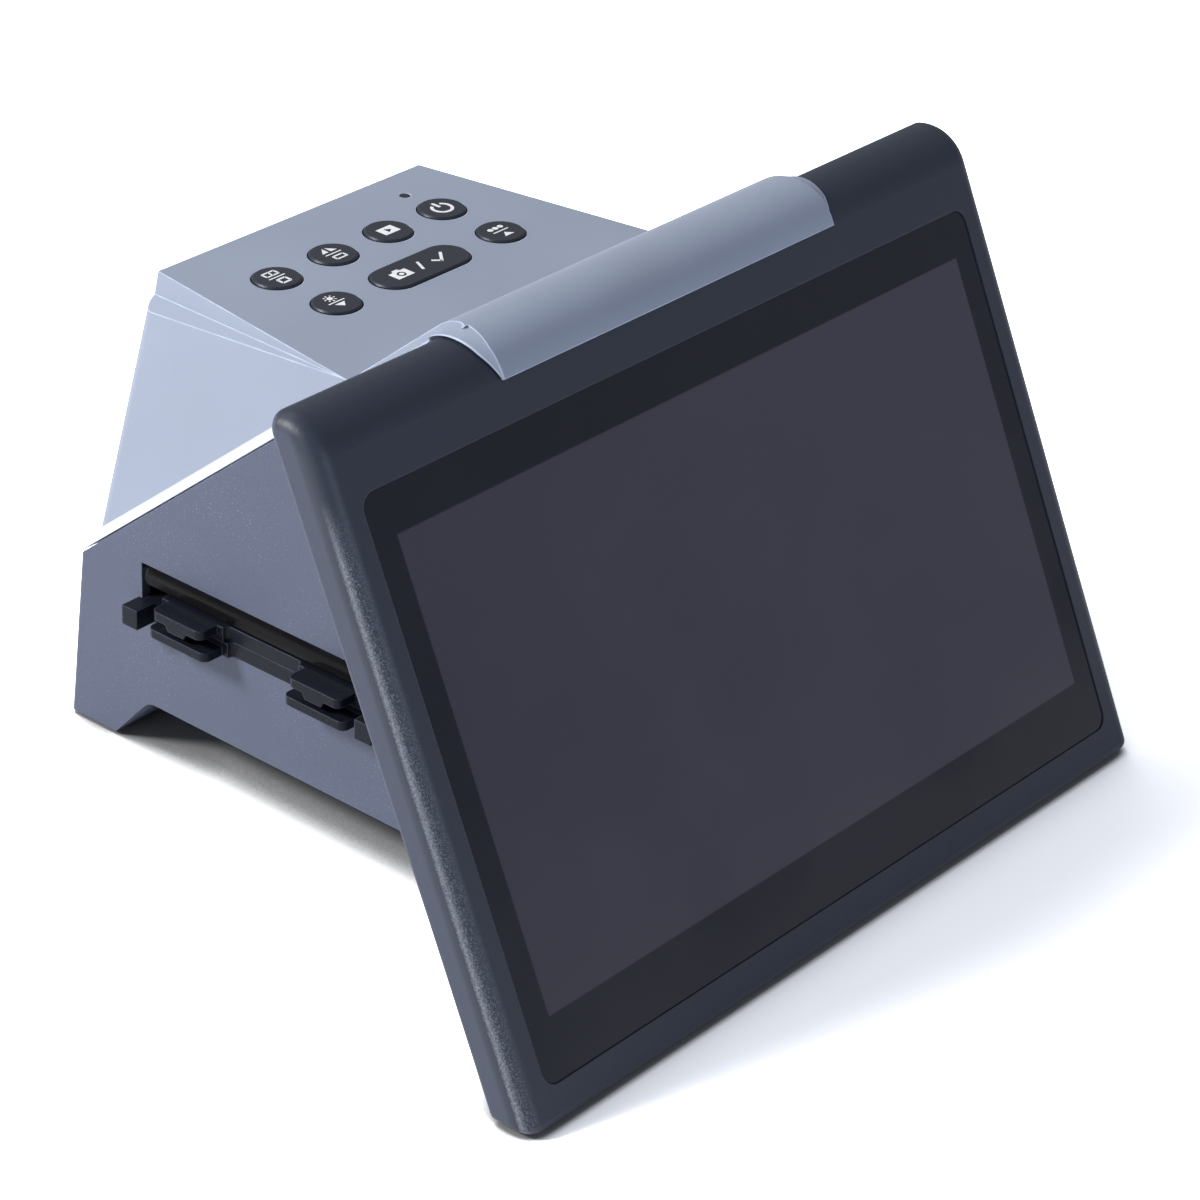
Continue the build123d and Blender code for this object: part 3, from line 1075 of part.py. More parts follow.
with BuildPart() as camera_bracket:
    with BuildSketch(Plane.XY.offset(GUIDE_RAIL_TOP_Z)):
        with Locations((0, FILM_CENTRE_Y)):
            Rectangle(CAMERA_PLATE_WIDTH, SLOT_WIDTH + 2 * GUIDE_RAIL)
            Rectangle(CHIMNEY_BOTTOM_WIDTH, CHIMNEY_BOTTOM_DEPTH, mode=Mode.SUBTRACT)
    extrude(amount=CHIMNEY_BASE_THICKNESS)
    add(chimney_form(CHIMNEY_WALL, CHIMNEY_HEIGHT + CHIMNEY_WALL))
    add(chimney_form(0, CHIMNEY_HEIGHT), mode=Mode.SUBTRACT)
    with BuildSketch(Plane.XY.offset(CHIMNEY_TOP_Z)):
        with Locations((0, FILM_CENTRE_Y)):
            Circle(LENS_RADIUS - LENS_WALL + SCREW_CLEARANCE)
    extrude(amount=CHIMNEY_WALL, mode=Mode.SUBTRACT)
save(camera_bracket.part, "camera_bracket")

with BuildPart() as lens_barrel:
    with BuildSketch(Plane.XY.offset(CHIMNEY_TOP_Z)):
        with Locations((0, FILM_CENTRE_Y)):
            Circle(LENS_RADIUS)
            Circle(LENS_GLASS_RADIUS + SCREW_CLEARANCE, mode=Mode.SUBTRACT)
    extrude(amount=-LENS_LENGTH)
    with BuildSketch(Plane.XY.offset(CHIMNEY_TOP_Z)):
        with Locations((0, FILM_CENTRE_Y)):
            Circle(LENS_RADIUS - LENS_WALL)
            Circle(LENS_GLASS_RADIUS + SCREW_CLEARANCE, mode=Mode.SUBTRACT)
    extrude(amount=CHIMNEY_WALL - PART_GAP)
save(lens_barrel.part, "lens_barrel")

with BuildPart() as lens_glass:
    lens_z = CHIMNEY_TOP_Z - LENS_LENGTH + LENS_GLASS_THICKNESS
    curve_radius = (LENS_GLASS_RADIUS ** 2 + LENS_BULGE ** 2) / (2 * LENS_BULGE)
    with Locations((0, FILM_CENTRE_Y, lens_z)):
        Cylinder(LENS_GLASS_RADIUS, LENS_GLASS_THICKNESS)
    for side in (-1, 1):
        with Locations((0, FILM_CENTRE_Y, lens_z + side * (curve_radius - LENS_GLASS_THICKNESS / 2))):
            Sphere(curve_radius, mode=Mode.INTERSECT)
save(lens_glass.part, "lens_glass")

with BuildPart() as sensor_board:
    with BuildSketch(Plane.XY.offset(SENSOR_BOARD_Z)):
        with Locations((0, FILM_CENTRE_Y)):
            Rectangle(SENSOR_BOARD_SIZE, SENSOR_BOARD_SIZE)
    extrude(amount=SENSOR_BOARD_THICKNESS)
save(sensor_board.part, "sensor_board")

with BuildPart() as image_sensor:
    with BuildSketch(Plane.XY.offset(SENSOR_BOARD_Z)):
        with Locations((0, FILM_CENTRE_Y)):
            Rectangle(SENSOR_SIZE, SENSOR_SIZE * FRAME_HEIGHT / FRAME_WIDTH)
    extrude(amount=-SENSOR_THICKNESS)
save(image_sensor.part, "image_sensor")

# ---------------------------------------------------------------- main board
with BuildPart() as main_board:
    with BuildSketch(Plane.XY.offset(MAIN_BOARD_Z)):
        with Locations((0, (MAIN_BOARD_FRONT_Y + MAIN_BOARD_REAR_Y) / 2)):
            Rectangle(MAIN_BOARD_WIDTH, MAIN_BOARD_REAR_Y - MAIN_BOARD_FRONT_Y)
        with Locations(BOARD_SCREWS):
            Circle(SCREW_RADIUS + SCREW_CLEARANCE, mode=Mode.SUBTRACT)
    extrude(amount=BOARD_THICKNESS)
save(main_board.part, "main_board")

board_screws = screws(
    [Plane(origin=(x, y, MAIN_BOARD_TOP), z_dir=(0, 0, 1)) for x, y in BOARD_SCREWS],
    BOARD_SCREW_LENGTH, SCREW_HEAD_RADIUS, SCREW_HEAD_HEIGHT)
save(board_screws, "board_screws")

for socket_name, (x, width, height, depth) in SOCKETS.items():
    with BuildPart() as socket:
        with BuildSketch(Plane.XZ.offset(-SOCKET_REAR_Y)):
            with Locations((x, MAIN_BOARD_TOP + height / 2)):
                Rectangle(width, height)
        extrude(amount=depth)
        with BuildSketch(Plane.XZ.offset(-SOCKET_REAR_Y)):
            with Locations((x, MAIN_BOARD_TOP + height / 2)):
                Rectangle(width - 2 * SOCKET_WALL, height - 2 * SOCKET_WALL)
        extrude(amount=SOCKET_MOUTH * depth, mode=Mode.SUBTRACT)
    save(socket.part, socket_name)
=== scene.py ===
import math

import bmesh
import bpy
from mathutils import Matrix, Vector


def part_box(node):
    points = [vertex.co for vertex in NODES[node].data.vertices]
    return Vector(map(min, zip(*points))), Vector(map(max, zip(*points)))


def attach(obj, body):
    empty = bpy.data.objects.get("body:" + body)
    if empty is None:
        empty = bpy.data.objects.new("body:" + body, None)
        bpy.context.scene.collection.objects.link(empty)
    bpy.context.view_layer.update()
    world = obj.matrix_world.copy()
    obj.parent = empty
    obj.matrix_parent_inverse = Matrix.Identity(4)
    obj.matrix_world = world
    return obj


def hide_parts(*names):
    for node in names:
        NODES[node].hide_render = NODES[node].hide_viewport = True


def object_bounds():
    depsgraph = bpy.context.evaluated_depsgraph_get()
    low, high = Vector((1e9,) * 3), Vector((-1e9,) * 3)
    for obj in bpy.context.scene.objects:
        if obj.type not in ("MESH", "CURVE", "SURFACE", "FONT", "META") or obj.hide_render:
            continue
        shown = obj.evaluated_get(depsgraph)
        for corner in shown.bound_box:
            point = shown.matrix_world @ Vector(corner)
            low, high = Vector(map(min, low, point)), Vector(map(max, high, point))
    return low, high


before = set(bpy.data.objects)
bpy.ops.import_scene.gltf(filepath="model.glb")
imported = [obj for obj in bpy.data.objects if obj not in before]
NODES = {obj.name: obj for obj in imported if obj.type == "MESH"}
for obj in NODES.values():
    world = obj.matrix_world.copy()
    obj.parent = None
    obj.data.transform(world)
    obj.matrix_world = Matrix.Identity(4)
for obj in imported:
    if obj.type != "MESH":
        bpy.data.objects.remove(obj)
CAD_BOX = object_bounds()
MM = 0.001

# ---------------------------------------------------------------- the part's sizes and places
SCREEN_LEAN = math.radians(24.6)
DISPLAY_SIZE = (154.2 * MM, 86.7 * MM)
UP_FACE = Vector((0, math.sin(SCREEN_LEAN), math.cos(SCREEN_LEAN)))
OUT_OF_FACE = Vector((0, -math.cos(SCREEN_LEAN), math.sin(SCREEN_LEAN)))
# the display's centre, on the face of the screen
FACE_CENTRE = Vector((0, -55.195, 56.4)) * MM
SCREEN_HALF = CAD_BOX[1][0]
EDGE_ROUND = 3.4 * MM
# axis of the screen unit's rounded top, which the hood lies over
ROUND_CENTRE = FACE_CENTRE + 59.5 * MM * UP_FACE - 9.25 * MM * OUT_OF_FACE
# the slanted joint between the top cover and the base, and the cover's bevel that stands out above it
SEAM_POINT = Vector((0, 75.7, 36.9)) * MM
SEAM_LEAN = math.radians(39.3)
SEAM_NORMAL = Vector((0, math.sin(SEAM_LEAN), math.cos(SEAM_LEAN)))
FLARE_HEIGHT = 2.3 * MM
HOOD_FOOT = 88 * MM


def in_radians(*degrees):
    return [math.radians(angle) for angle in degrees]


# ---------------------------------------------------------------- material tools
# cosines of the turn at which the rim of an edge begins and is full, by how sharp the edge is
SHARP_RIMS = (0.99, 0.80)
SHALLOW_RIMS = (0.9985, 0.985)
BEVEL_SAMPLES = 6
# a Mix node's sockets for colours
MIX_FACTOR, MIX_FIRST, MIX_SECOND, MIX_RESULT = 0, 6, 7, 2


class Surface:
    """A procedural material: a Principled shader and the nodes that feed it."""

    def __init__(self, name):
        self.material = bpy.data.materials.new(name)
        self.material.use_nodes = True
        self.tree = self.material.node_tree
        self.shader = self.tree.nodes["Principled BSDF"]
        self.place = self.add("ShaderNodeTexCoord").outputs["Object"]

    def add(self, kind, **settings):
        node = self.tree.nodes.new(kind)
        for key, value in settings.items():
            setattr(node, key, value)
        return node

    def link(self, output, node_input):
        self.tree.links.new(output, node_input)

    def feed(self, node_input, value):
        """Give an input another node's output, or a constant."""
        if isinstance(value, bpy.types.NodeSocket):
            self.link(value, node_input)
        else:
            node_input.default_value = value

    def set(self, **values):
        """Constants on the shader's own sockets; underscores stand for spaces."""
        for key, value in values.items():
            self.shader.inputs[key.replace("_", " ")].default_value = value

    def noise(self, scale, detail=2.0, roughness=0.5, stretch=None):
        node = self.add("ShaderNodeTexNoise")
        node.inputs["Scale"].default_value = scale
        node.inputs["Detail"].default_value = detail
        node.inputs["Roughness"].default_value = roughness
        source = self.place
        if stretch:
            mapping = self.add("ShaderNodeMapping")
            mapping.inputs["Scale"].default_value = stretch
            self.link(self.place, mapping.inputs["Vector"])
            source = mapping.outputs["Vector"]
        self.link(source, node.inputs["Vector"])
        return node.outputs["Fac"]

    def remap(self, value, low, high, to_low=0.0, to_high=1.0):
        node = self.add("ShaderNodeMapRange", clamp=True)
        ends = {"From Min": low, "From Max": high, "To Min": to_low, "To Max": to_high}
        for key, number in ends.items():
            node.inputs[key].default_value = number
        self.link(value, node.inputs["Value"])
        return node.outputs["Result"]

    def band(self, value, rise, fall):
        """A mask that rises from 0 to 1 over one stretch of a value and falls again over another."""
        return self.both(self.remap(value, *rise), self.remap(value, *fall, 1.0, 0.0))

    def mix(self, factor, first, second):
        """first and second are colours or outputs; factor is an output or a number."""
        node = self.add("ShaderNodeMix", data_type="RGBA")
        for index, value in ((MIX_FACTOR, factor), (MIX_FIRST, first), (MIX_SECOND, second)):
            self.feed(node.inputs[index], value)
        return node.outputs[MIX_RESULT]

    def maths(self, operation, *values, **settings):
        node = self.add("ShaderNodeMath", operation=operation, **settings)
        for socket, value in zip(node.inputs, values):
            self.feed(socket, value)
        return node.outputs[0]

    def rounded_normal(self, radius):
        """The surface's direction, with sharp edges of the mesh turned as rounded ones."""
        bevel = self.add("ShaderNodeBevel", samples=BEVEL_SAMPLES)
        bevel.inputs["Radius"].default_value = radius
        return bevel.outputs["Normal"]

    def bump(self, height, strength, distance, rounding=0.0):
        """Relief from a height; with a rounding, sharp edges of the mesh catch light as rounded ones."""
        node = self.add("ShaderNodeBump")
        if rounding:
            self.link(self.rounded_normal(rounding), node.inputs["Normal"])
        node.inputs["Strength"].default_value = strength
        node.inputs["Distance"].default_value = distance
        self.link(height, node.inputs["Height"])
        self.link(node.outputs["Normal"], self.shader.inputs["Normal"])

    def dot(self, first, second):
        node = self.add("ShaderNodeVectorMath", operation="DOT_PRODUCT")
        for socket, value in zip(node.inputs, (first, second)):
            self.feed(socket, value)
        return node.outputs["Value"]

    def edges(self, radius, turns=SHARP_RIMS):
        """1 on the rims of the mesh within about a radius, 0 on its flats."""
        normal = self.add("ShaderNodeNewGeometry").outputs["Normal"]
        return self.remap(self.dot(self.rounded_normal(radius), normal), *turns)

    def along(self, direction, start):
        """How far a point lies along a direction, from a starting point."""
        return self.maths("SUBTRACT", self.dot(self.place, direction), start.dot(direction))

    def axes(self):
        """Outputs for how far a point lies along X and along Z."""
        split = self.add("ShaderNodeSeparateXYZ")
        self.link(self.place, split.inputs["Vector"])
        return split.outputs["X"], split.outputs["Z"]

    def both(self, *factors):
        """Product of several masks or numbers."""
        product = factors[0]
        for factor in factors[1:]:
            product = self.maths("MULTIPLY", product, factor)
        return product

    def colour(self, value):
        self.link(value, self.shader.inputs["Base Color"])

    def roughness(self, value):
        self.link(value, self.shader.inputs["Roughness"])


def rgb(red, green, blue):
    """A colour given as it shows on screen, 0 to 255, in the renderer's linear values."""
    def linear(level):
        level /= 255
        return level / 12.92 if level <= 0.04045 else ((level + 0.055) / 1.055) ** 2.4
    return linear(red), linear(green), linear(blue), 1.0


def shade(colour, factor):
    """A colour lighter or darker by a factor."""
    return tuple(min(1.0, channel * factor) for channel in colour[:3]) + (1.0,)


def moulded(name, colour, roughness, grain, depth, sparkle=0.0, rim=1.25, rim_radius=0.35 * MM, gloss=0.5,
            fine_rims=False, paint=None):
    """Injection-moulded plastic: spark-eroded grain, faint flow shading, painted glints and painted
    highlights on its rims.

    fine_rims gives shallow edges painted highlights too. paint takes the surface and its colour, and gives
    the colour with the marks of one part.
    """
    s = Surface(name)
    flow = s.remap(s.noise(22, 3), 0.3, 0.7)
    base = s.mix(flow, shade(colour, 0.95), shade(colour, 1.05))
    fine = s.noise(grain, 3, 0.6)
    # painted glints: bright specks of three times the colour, spread in patches over the grain
    if sparkle:
        glint = s.remap(s.noise(grain * 1.3, 1), 0.64, 0.76)
        patches = s.remap(s.noise(45, 2), 0.4, 0.62, 0.25, 1.0)
        base = s.mix(s.both(glint, patches, sparkle), base, shade(colour, 3.0))
    if paint:
        base = paint(s, base)
    # painted highlights on the rims: edges lightened by the factor rim, broken into patches by noise
    rims = s.edges(rim_radius, SHALLOW_RIMS if fine_rims else SHARP_RIMS)
    painted_rim_highlight = s.both(rims, s.remap(s.noise(160, 3), 0.35, 0.65, 0.45, 1.0))
    s.colour(s.mix(painted_rim_highlight, base, shade(colour, rim)))
    s.roughness(s.remap(fine, 0.3, 0.7, roughness - 0.05, roughness + 0.05))
    s.set(Specular_IOR_Level=gloss)
    s.bump(fine, 0.6, depth, rim_radius)
    return s.material


# turns round the display frame's side edge, from the flank, where its painted glints and its painted
# highlight line come and go
GLINT_TURNS = in_radians(6, 14), in_radians(38, 82)
HIGHLIGHT_LINE_TURNS = in_radians(10, 20), in_radians(22, 40)
# heights over which the painted glints and the painted highlight line fade out below the frame's rounded
# top
HIGHLIGHTS_FADE = (94 * MM, 104 * MM)


def frame_flank_and_highlights(s, base):
    """Slate flanks, and painted glints and a painted highlight line on the rounding of the display frame's
    side edges.
    """
    x, z = s.axes()
    across = s.maths("ABSOLUTE", x)
    out = s.along(OUT_OF_FACE, FACE_CENTRE)
    flank = s.both(s.remap(across, SCREEN_HALF - 0.5 * MM, SCREEN_HALF - 0.1 * MM),
                   s.remap(out, -EDGE_ROUND - 1.6 * MM, -EDGE_ROUND - 0.5 * MM, 1.0, 0.0))
    base = s.mix(flank, base, FLANK_COLOUR)
    lower = s.remap(z, *HIGHLIGHTS_FADE, 1.0, 0.0)
    # how far round the edge a point lies, from the flank to the face
    turn = s.maths("ARCTAN2", s.maths("ADD", out, EDGE_ROUND),
                   s.maths("SUBTRACT", across, SCREEN_HALF - EDGE_ROUND))
    # painted glints: bright specks over the coarse part of the rounding
    glint_band = s.both(s.band(turn, *GLINT_TURNS), lower)
    glint_specks = s.remap(s.noise(3400, 2, 0.7), 0.48, 0.66)
    base = s.mix(s.both(glint_specks, glint_band, 0.45), base, EDGE_GLINT)
    # a painted highlight line along the rounding, broken into patches by noise
    line = s.both(s.band(turn, *HIGHLIGHT_LINE_TURNS), lower)
    patchy_highlight = s.remap(s.noise(2600, 2, 0.7), 0.36, 0.62, 0.25, 1.0)
    return s.mix(s.both(patchy_highlight, line, 0.6), base, EDGE_GLINT)


def seam_highlight(s, base):
    """A painted highlight on the bevelled strip along the cover's lower edge, which faces the light."""
    above = s.along(SEAM_NORMAL, SEAM_POINT)
    level = s.axes()[1]
    blur = 0.15 * MM
    # painted highlight: the strip just above the seam is lightened towards near white
    # the seam's plane also passes the hood, which stays plain
    strip = s.both(s.remap(above, FLARE_HEIGHT - blur, FLARE_HEIGHT + blur, 0.8, 0.0),
                   s.remap(level, HOOD_FOOT, HOOD_FOOT + 1 * MM, 1.0, 0.0))
    return s.mix(strip, base, SEAM_HIGHLIGHT_COLOUR)


def polished(name, colour, roughness, gloss=0.5):
    """Glossy plastic with a faint orange-peel surface and light finger smears."""
    s = Surface(name)
    s.colour(s.mix(s.remap(s.noise(60, 2), 0.3, 0.7), shade(colour, 0.9), shade(colour, 1.1)))
    s.roughness(s.remap(s.noise(140, 3), 0.35, 0.7, roughness, roughness + 0.08))
    s.set(Specular_IOR_Level=gloss)
    s.bump(s.noise(700, 1), 0.25, 0.01 * MM)
    return s.material


def metal(name, colour, roughness):
    """Zinc-plated steel with fine drawn lines."""
    s = Surface(name)
    lines = s.noise(900, 3, 0.7, (0.15, 1.0, 1.0))
    s.colour(s.mix(s.remap(lines, 0.3, 0.7), shade(colour, 0.85), shade(colour, 1.1)))
    s.roughness(s.remap(lines, 0.3, 0.7, roughness - 0.08, roughness + 0.1))
    s.set(Metallic=1.0)
    s.bump(lines, 0.3, 0.01 * MM)
    return s.material


def circuit_board(name):
    """Green solder mask over faint copper tracks."""
    s = Surface(name)
    green, track = rgb(16, 78, 48), rgb(30, 104, 66)
    brick = s.add("ShaderNodeTexBrick")
    brick.inputs["Scale"].default_value = 260
    brick.inputs["Mortar Size"].default_value = 0.012
    s.link(s.place, brick.inputs["Vector"])
    s.colour(s.mix(brick.outputs["Fac"], green, track))
    s.roughness(s.remap(s.noise(300, 2), 0.3, 0.7, 0.28, 0.42))
    s.bump(s.noise(1200, 2), 0.3, 0.01 * MM)
    return s.material


def rubber(name):
    s = Surface(name)
    s.colour(s.mix(s.remap(s.noise(900, 3), 0.3, 0.7), rgb(22, 22, 24), rgb(34, 34, 36)))
    s.roughness(s.remap(s.noise(500, 2), 0.3, 0.7, 0.75, 0.9))
    s.bump(s.noise(1500, 3), 0.5, 0.03 * MM)
    return s.material


def display_glass(name):
    """Dark cover glass: a black printed border round the slightly lighter display area."""
    s = Surface(name)
    border, display = rgb(27, 29, 41), rgb(63, 62, 74)
    x, z = s.axes()
    half_width, half_height = DISPLAY_SIZE[0] / 2, DISPLAY_SIZE[1] / 2 * UP_FACE.z
    across = s.maths("ABSOLUTE", x)
    up = s.maths("ABSOLUTE", s.maths("SUBTRACT", z, FACE_CENTRE.z))
    edge = 0.35 * MM
    inside = s.both(s.remap(across, half_width - edge, half_width, 1.0, 0.0),
                    s.remap(up, half_height - edge, half_height, 1.0, 0.0))
    # a painted reflection: the display area lightens from its lower left corner to its upper right one
    reflection_gradient = s.remap(s.maths("ADD", x, z), -60 * MM, 150 * MM)
    display_tone_and_reflection = s.mix(reflection_gradient, shade(display, 0.88), shade(display, 1.3))
    display_tone_and_reflection = s.mix(s.remap(s.noise(9, 2), 0.35, 0.7), display_tone_and_reflection, shade(display, 1.1))
    s.colour(s.mix(inside, border, display_tone_and_reflection))
    s.roughness(s.remap(s.noise(45, 3), 0.35, 0.75, 0.16, 0.26))
    s.set(Specular_IOR_Level=0.35)
    s.bump(s.noise(2600, 1), 0.08, 0.004 * MM)
    return s.material


def clear(name, colour, roughness=0.05, transmission=0.8):
    s = Surface(name)
    s.colour(s.mix(s.remap(s.noise(80, 1), 0.3, 0.7), shade(colour, 0.95), colour))
    s.roughness(s.remap(s.noise(200, 2), 0.3, 0.7, roughness, roughness + 0.05))
    s.set(Transmission_Weight=transmission, IOR=1.49)
    return s.material


def print_white(name):
    s = Surface(name)
    s.colour(s.mix(s.remap(s.noise(1500, 2), 0.3, 0.7), rgb(226, 228, 232), rgb(244, 245, 247)))
    s.roughness(s.remap(s.noise(900, 2), 0.3, 0.7, 0.45, 0.6))
    s.bump(s.noise(2500, 2), 0.3, 0.01 * MM)
    return s.material


FLANK_COLOUR = rgb(62, 67, 85)
# colour of the painted glints and painted highlight line on the display frame's rounded edges
EDGE_GLINT = rgb(150, 154, 166)
# colour of the painted highlight on the cover's bevelled strip
SEAM_HIGHLIGHT_COLOUR = rgb(226, 231, 238)

# rim is how far the painted highlights lighten each plastic's edges; sparkle is how strong its painted
# glints are
COVER = moulded("cover_satin", rgb(148, 157, 175), 0.46, 2600, 0.012 * MM, rim=2.1, rim_radius=0.26 * MM,
                gloss=0.3, fine_rims=True, paint=seam_highlight)
BASE = moulded("base_slate", rgb(86, 92, 112), 0.50, 2100, 0.06 * MM, sparkle=0.6, rim=2.0,
               rim_radius=0.24 * MM, gloss=0.35, fine_rims=True)
FRAME = moulded("screen_frame", rgb(43, 49, 63), 0.44, 2100, 0.05 * MM, sparkle=0.12, rim=1.3, gloss=0.4,
                paint=frame_flank_and_highlights)
REAR = moulded("screen_rear", rgb(62, 67, 85), 0.50, 2300, 0.03 * MM, sparkle=0.10, rim=2.4)
HOLDER = moulded("holder_black", rgb(24, 27, 36), 0.30, 1800, 0.03 * MM, sparkle=0.3, rim=8.0,
                 rim_radius=0.35 * MM, gloss=0.12)
INNER = moulded("inner_black", rgb(18, 18, 21), 0.55, 1800, 0.03 * MM)
OPAL = moulded("opal_white", rgb(228, 230, 232), 0.45, 900, 0.01 * MM, rim=1.0)
KEY = moulded("key_black", rgb(36, 40, 52), 0.36, 1500, 0.008 * MM, rim=2.0, rim_radius=0.3 * MM)
FLAP = polished("flap_gloss", rgb(9, 9, 12), 0.22, gloss=0.10)
STEEL = metal("zinc_steel", rgb(176, 178, 182), 0.32)
SOCKET = metal("socket_steel", rgb(190, 190, 192), 0.25)
BOARD = circuit_board("circuit_board")
RUBBER = rubber("pad_rubber")
GLASS = display_glass("display_glass")
LENS = clear("lens_glass", rgb(214, 224, 240))
PIPE = polished("light_pipe", rgb(30, 33, 44), 0.08)
SENSOR = polished("image_sensor", rgb(30, 30, 60), 0.08)
DISPLAY = polished("display_panel", rgb(20, 20, 24), 0.3)
PRINT = print_white("white_print")

DRESS = {
    "top_cover": COVER,
    "base_shell": BASE,
    "bottom_cover": BASE,
    "screen_front_frame": FRAME,
    "screen_rear_cover": REAR,
    "screen_glass": GLASS,
    "lcd_panel": DISPLAY,
    "rubber_feet": RUBBER,
    "film_guide": INNER,
    "camera_bracket": INNER,
    "lens_barrel": INNER,
    "tact_switches": INNER,
    "holder_lower_frame": HOLDER,
    "holder_upper_frame": HOLDER,
    "left_flap": FLAP,
    "right_flap": FLAP,
    "light_frame": OPAL,
    "diffuser": OPAL,
    "lens_glass": LENS,
    "image_sensor": SENSOR,
    "status_light": PIPE,
    "usb_socket": SOCKET,
    "hdmi_socket": SOCKET,
    "sd_card_socket": SOCKET,
}
for node_name, node in NODES.items():
    if node_name.endswith("_button"):
        material = KEY
    elif node_name.endswith("board") or node_name == "light_panel":
        material = BOARD
    else:
        material = DRESS.get(node_name, STEEL)
    node.data.materials.clear()
    node.data.materials.append(material)


# ---------------------------------------------------------------- mesh tools
def finish_mesh(name, shape, material, body, slot, *replaced):
    """An object from a bmesh, on its body, hiding the frame nodes that it stands for; its slot is not
    used.
    """
    bmesh.ops.recalc_face_normals(shape, faces=shape.faces)
    mesh = bpy.data.meshes.new(name)
    shape.to_mesh(mesh)
    shape.free()
    mesh.materials.append(material)
    piece = bpy.data.objects.new(name, mesh)
    bpy.context.scene.collection.objects.link(piece)
    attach(piece, body)
    if replaced:
        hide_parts(*replaced)
    return piece


def skin(shape, rings):
    """Four-sided faces from each ring of corners to the next."""
    for near, far in zip(rings, rings[1:]):
        for j in range(len(near)):
            k = (j + 1) % len(near)
            shape.faces.new((near[j], near[k], far[k], far[j]))


def closed_skin(shape, rings):
    """The skin of a solid, with a face on its first ring and on its last."""
    skin(shape, rings)
    shape.faces.new(rings[0])
    shape.faces.new(rings[-1][::-1])


def smooth(piece, degrees):
    """Smooth shading, with edges that turn by more than an angle left sharp."""
    for polygon in piece.data.polygons:
        polygon.use_smooth = True
    piece.data.set_sharp_from_angle(angle=math.radians(degrees))


# ---------------------------------------------------------------- pictograms on the keys, in millimetres
PRINT_HEIGHT = 0.03 * MM
ARC_STEPS = 24


def around(centre, radius, degrees):
    """The point at a distance and an angle from a centre."""
    angle = math.radians(degrees)
    return centre[0] + radius * math.cos(angle), centre[1] + radius * math.sin(angle)


def ring_points(centre, radius, start=0.0, end=360.0):
    return [around(centre, radius, start + (end - start) * i / ARC_STEPS) for i in range(ARC_STEPS + 1)]


def disc(centre, radius):
    return ring_points(centre, radius)[:-1]


def arc_band(centre, inner, outer, start, end):
    return ring_points(centre, outer, start, end) + ring_points(centre, inner, start, end)[::-1]


def bar(start, end, width):
    run = Vector((end[0] - start[0], end[1] - start[1]))
    side = Vector((-run.y, run.x)).normalized() * width / 2
    a, b = Vector(start), Vector(end)
    return [tuple(a - side), tuple(b - side), tuple(b + side), tuple(a + side)]


def frame_bars(centre, width, height, line):
    """Outline of a rectangle as four bars."""
    x, y = centre
    w, h = width / 2, height / 2
    corners = [(x - w, y - h), (x + w, y - h), (x + w, y + h), (x - w, y + h)]
    return [bar(corners[i], corners[(i + 1) % 4], line) for i in range(4)]


def power_icon():
    """A ring with an opening at its top, and a stroke through the opening."""
    return [arc_band((0, -0.1), 1.65, 2.3, 122, 418), bar((0, 0.4), (0, 2.6), 0.62)]


def play_icon():
    """A filled panel with a triangular hole, cut into three pieces that leave the hole open."""
    left, right, low, high = -1.95, 1.95, -1.45, 1.45
    back, tip, rise = -0.5, 0.85, 0.85
    return [
        [(left, low), (back, low), (back, high), (left, high)],
        [(back, low), (right, low), (right, 0), (tip, 0), (back, -rise)],
        [(back, rise), (tip, 0), (right, 0), (right, high), (back, high)],
    ]


def divided(upper, lower):
    """Two small signs, one above the other, with a rule between them."""
    return [*upper, bar((-2.0, 0), (2.0, 0), 0.32), *lower]


def triangle(y, rise):
    """A triangle about a height, its point up for a positive rise and down for a negative one."""
    return [[(-1.25, y - rise), (1.25, y - rise), (0, y + rise)]]


def mirror_icon():
    upper = [[(-0.35, 0.9), (-0.35, 2.7), (-1.9, 0.9)], [(0.35, 0.9), (1.9, 0.9), (0.35, 2.7)]]
    return divided(upper, frame_bars((0, -1.75), 2.6, 1.3, 0.4))


def film_icon():
    strip = [*frame_bars((0, 1.75), 3.0, 1.5, 0.4), bar((0, 1.0), (0, 2.5), 0.35)]
    slide = frame_bars((0, -1.85), 2.0, 1.7, 0.5)
    return divided(strip, slide)


def sun_icon():
    sun = (0, 1.75)
    rays = [bar(around(sun, 0.85, angle), around(sun, 1.3, angle), 0.3) for angle in range(0, 360, 45)]
    return divided([disc(sun, 0.6), *rays], triangle(-1.5, -0.75))


def colour_icon():
    dots = [disc((x, 1.45), 0.6) for x in (-1.35, 0, 1.35)]
    return divided(dots, triangle(-1.6, 0.75))


def camera_icon():
    """A camera with its lens left open, a slash and a tick."""
    x, lens, low, high = -5.2, 0.95, -1.55, 1.25
    right = ring_points((x, -0.15), lens, -90, 90)
    left = ring_points((x, -0.15), lens, 90, 270)
    body = [[*right[::-1], (x, low), (x + 2.1, low), (x + 2.1, high), (x, high)][::-1],
            [*left[::-1], (x, high), (x - 2.1, high), (x - 2.1, low), (x, low)][::-1],
            [(x - 1.0, high), (x + 1.0, high), (x + 0.6, 1.9), (x - 0.6, 1.9)],
            disc((x, -0.15), 0.5)]
    tick = [bar((3.1, 0.1), (4.6, -1.35), 0.6), bar((4.38, -1.42), (7.0, 1.5), 0.6)]
    return [*body, bar((-0.7, -1.5), (0.7, 1.5), 0.55), *tick]


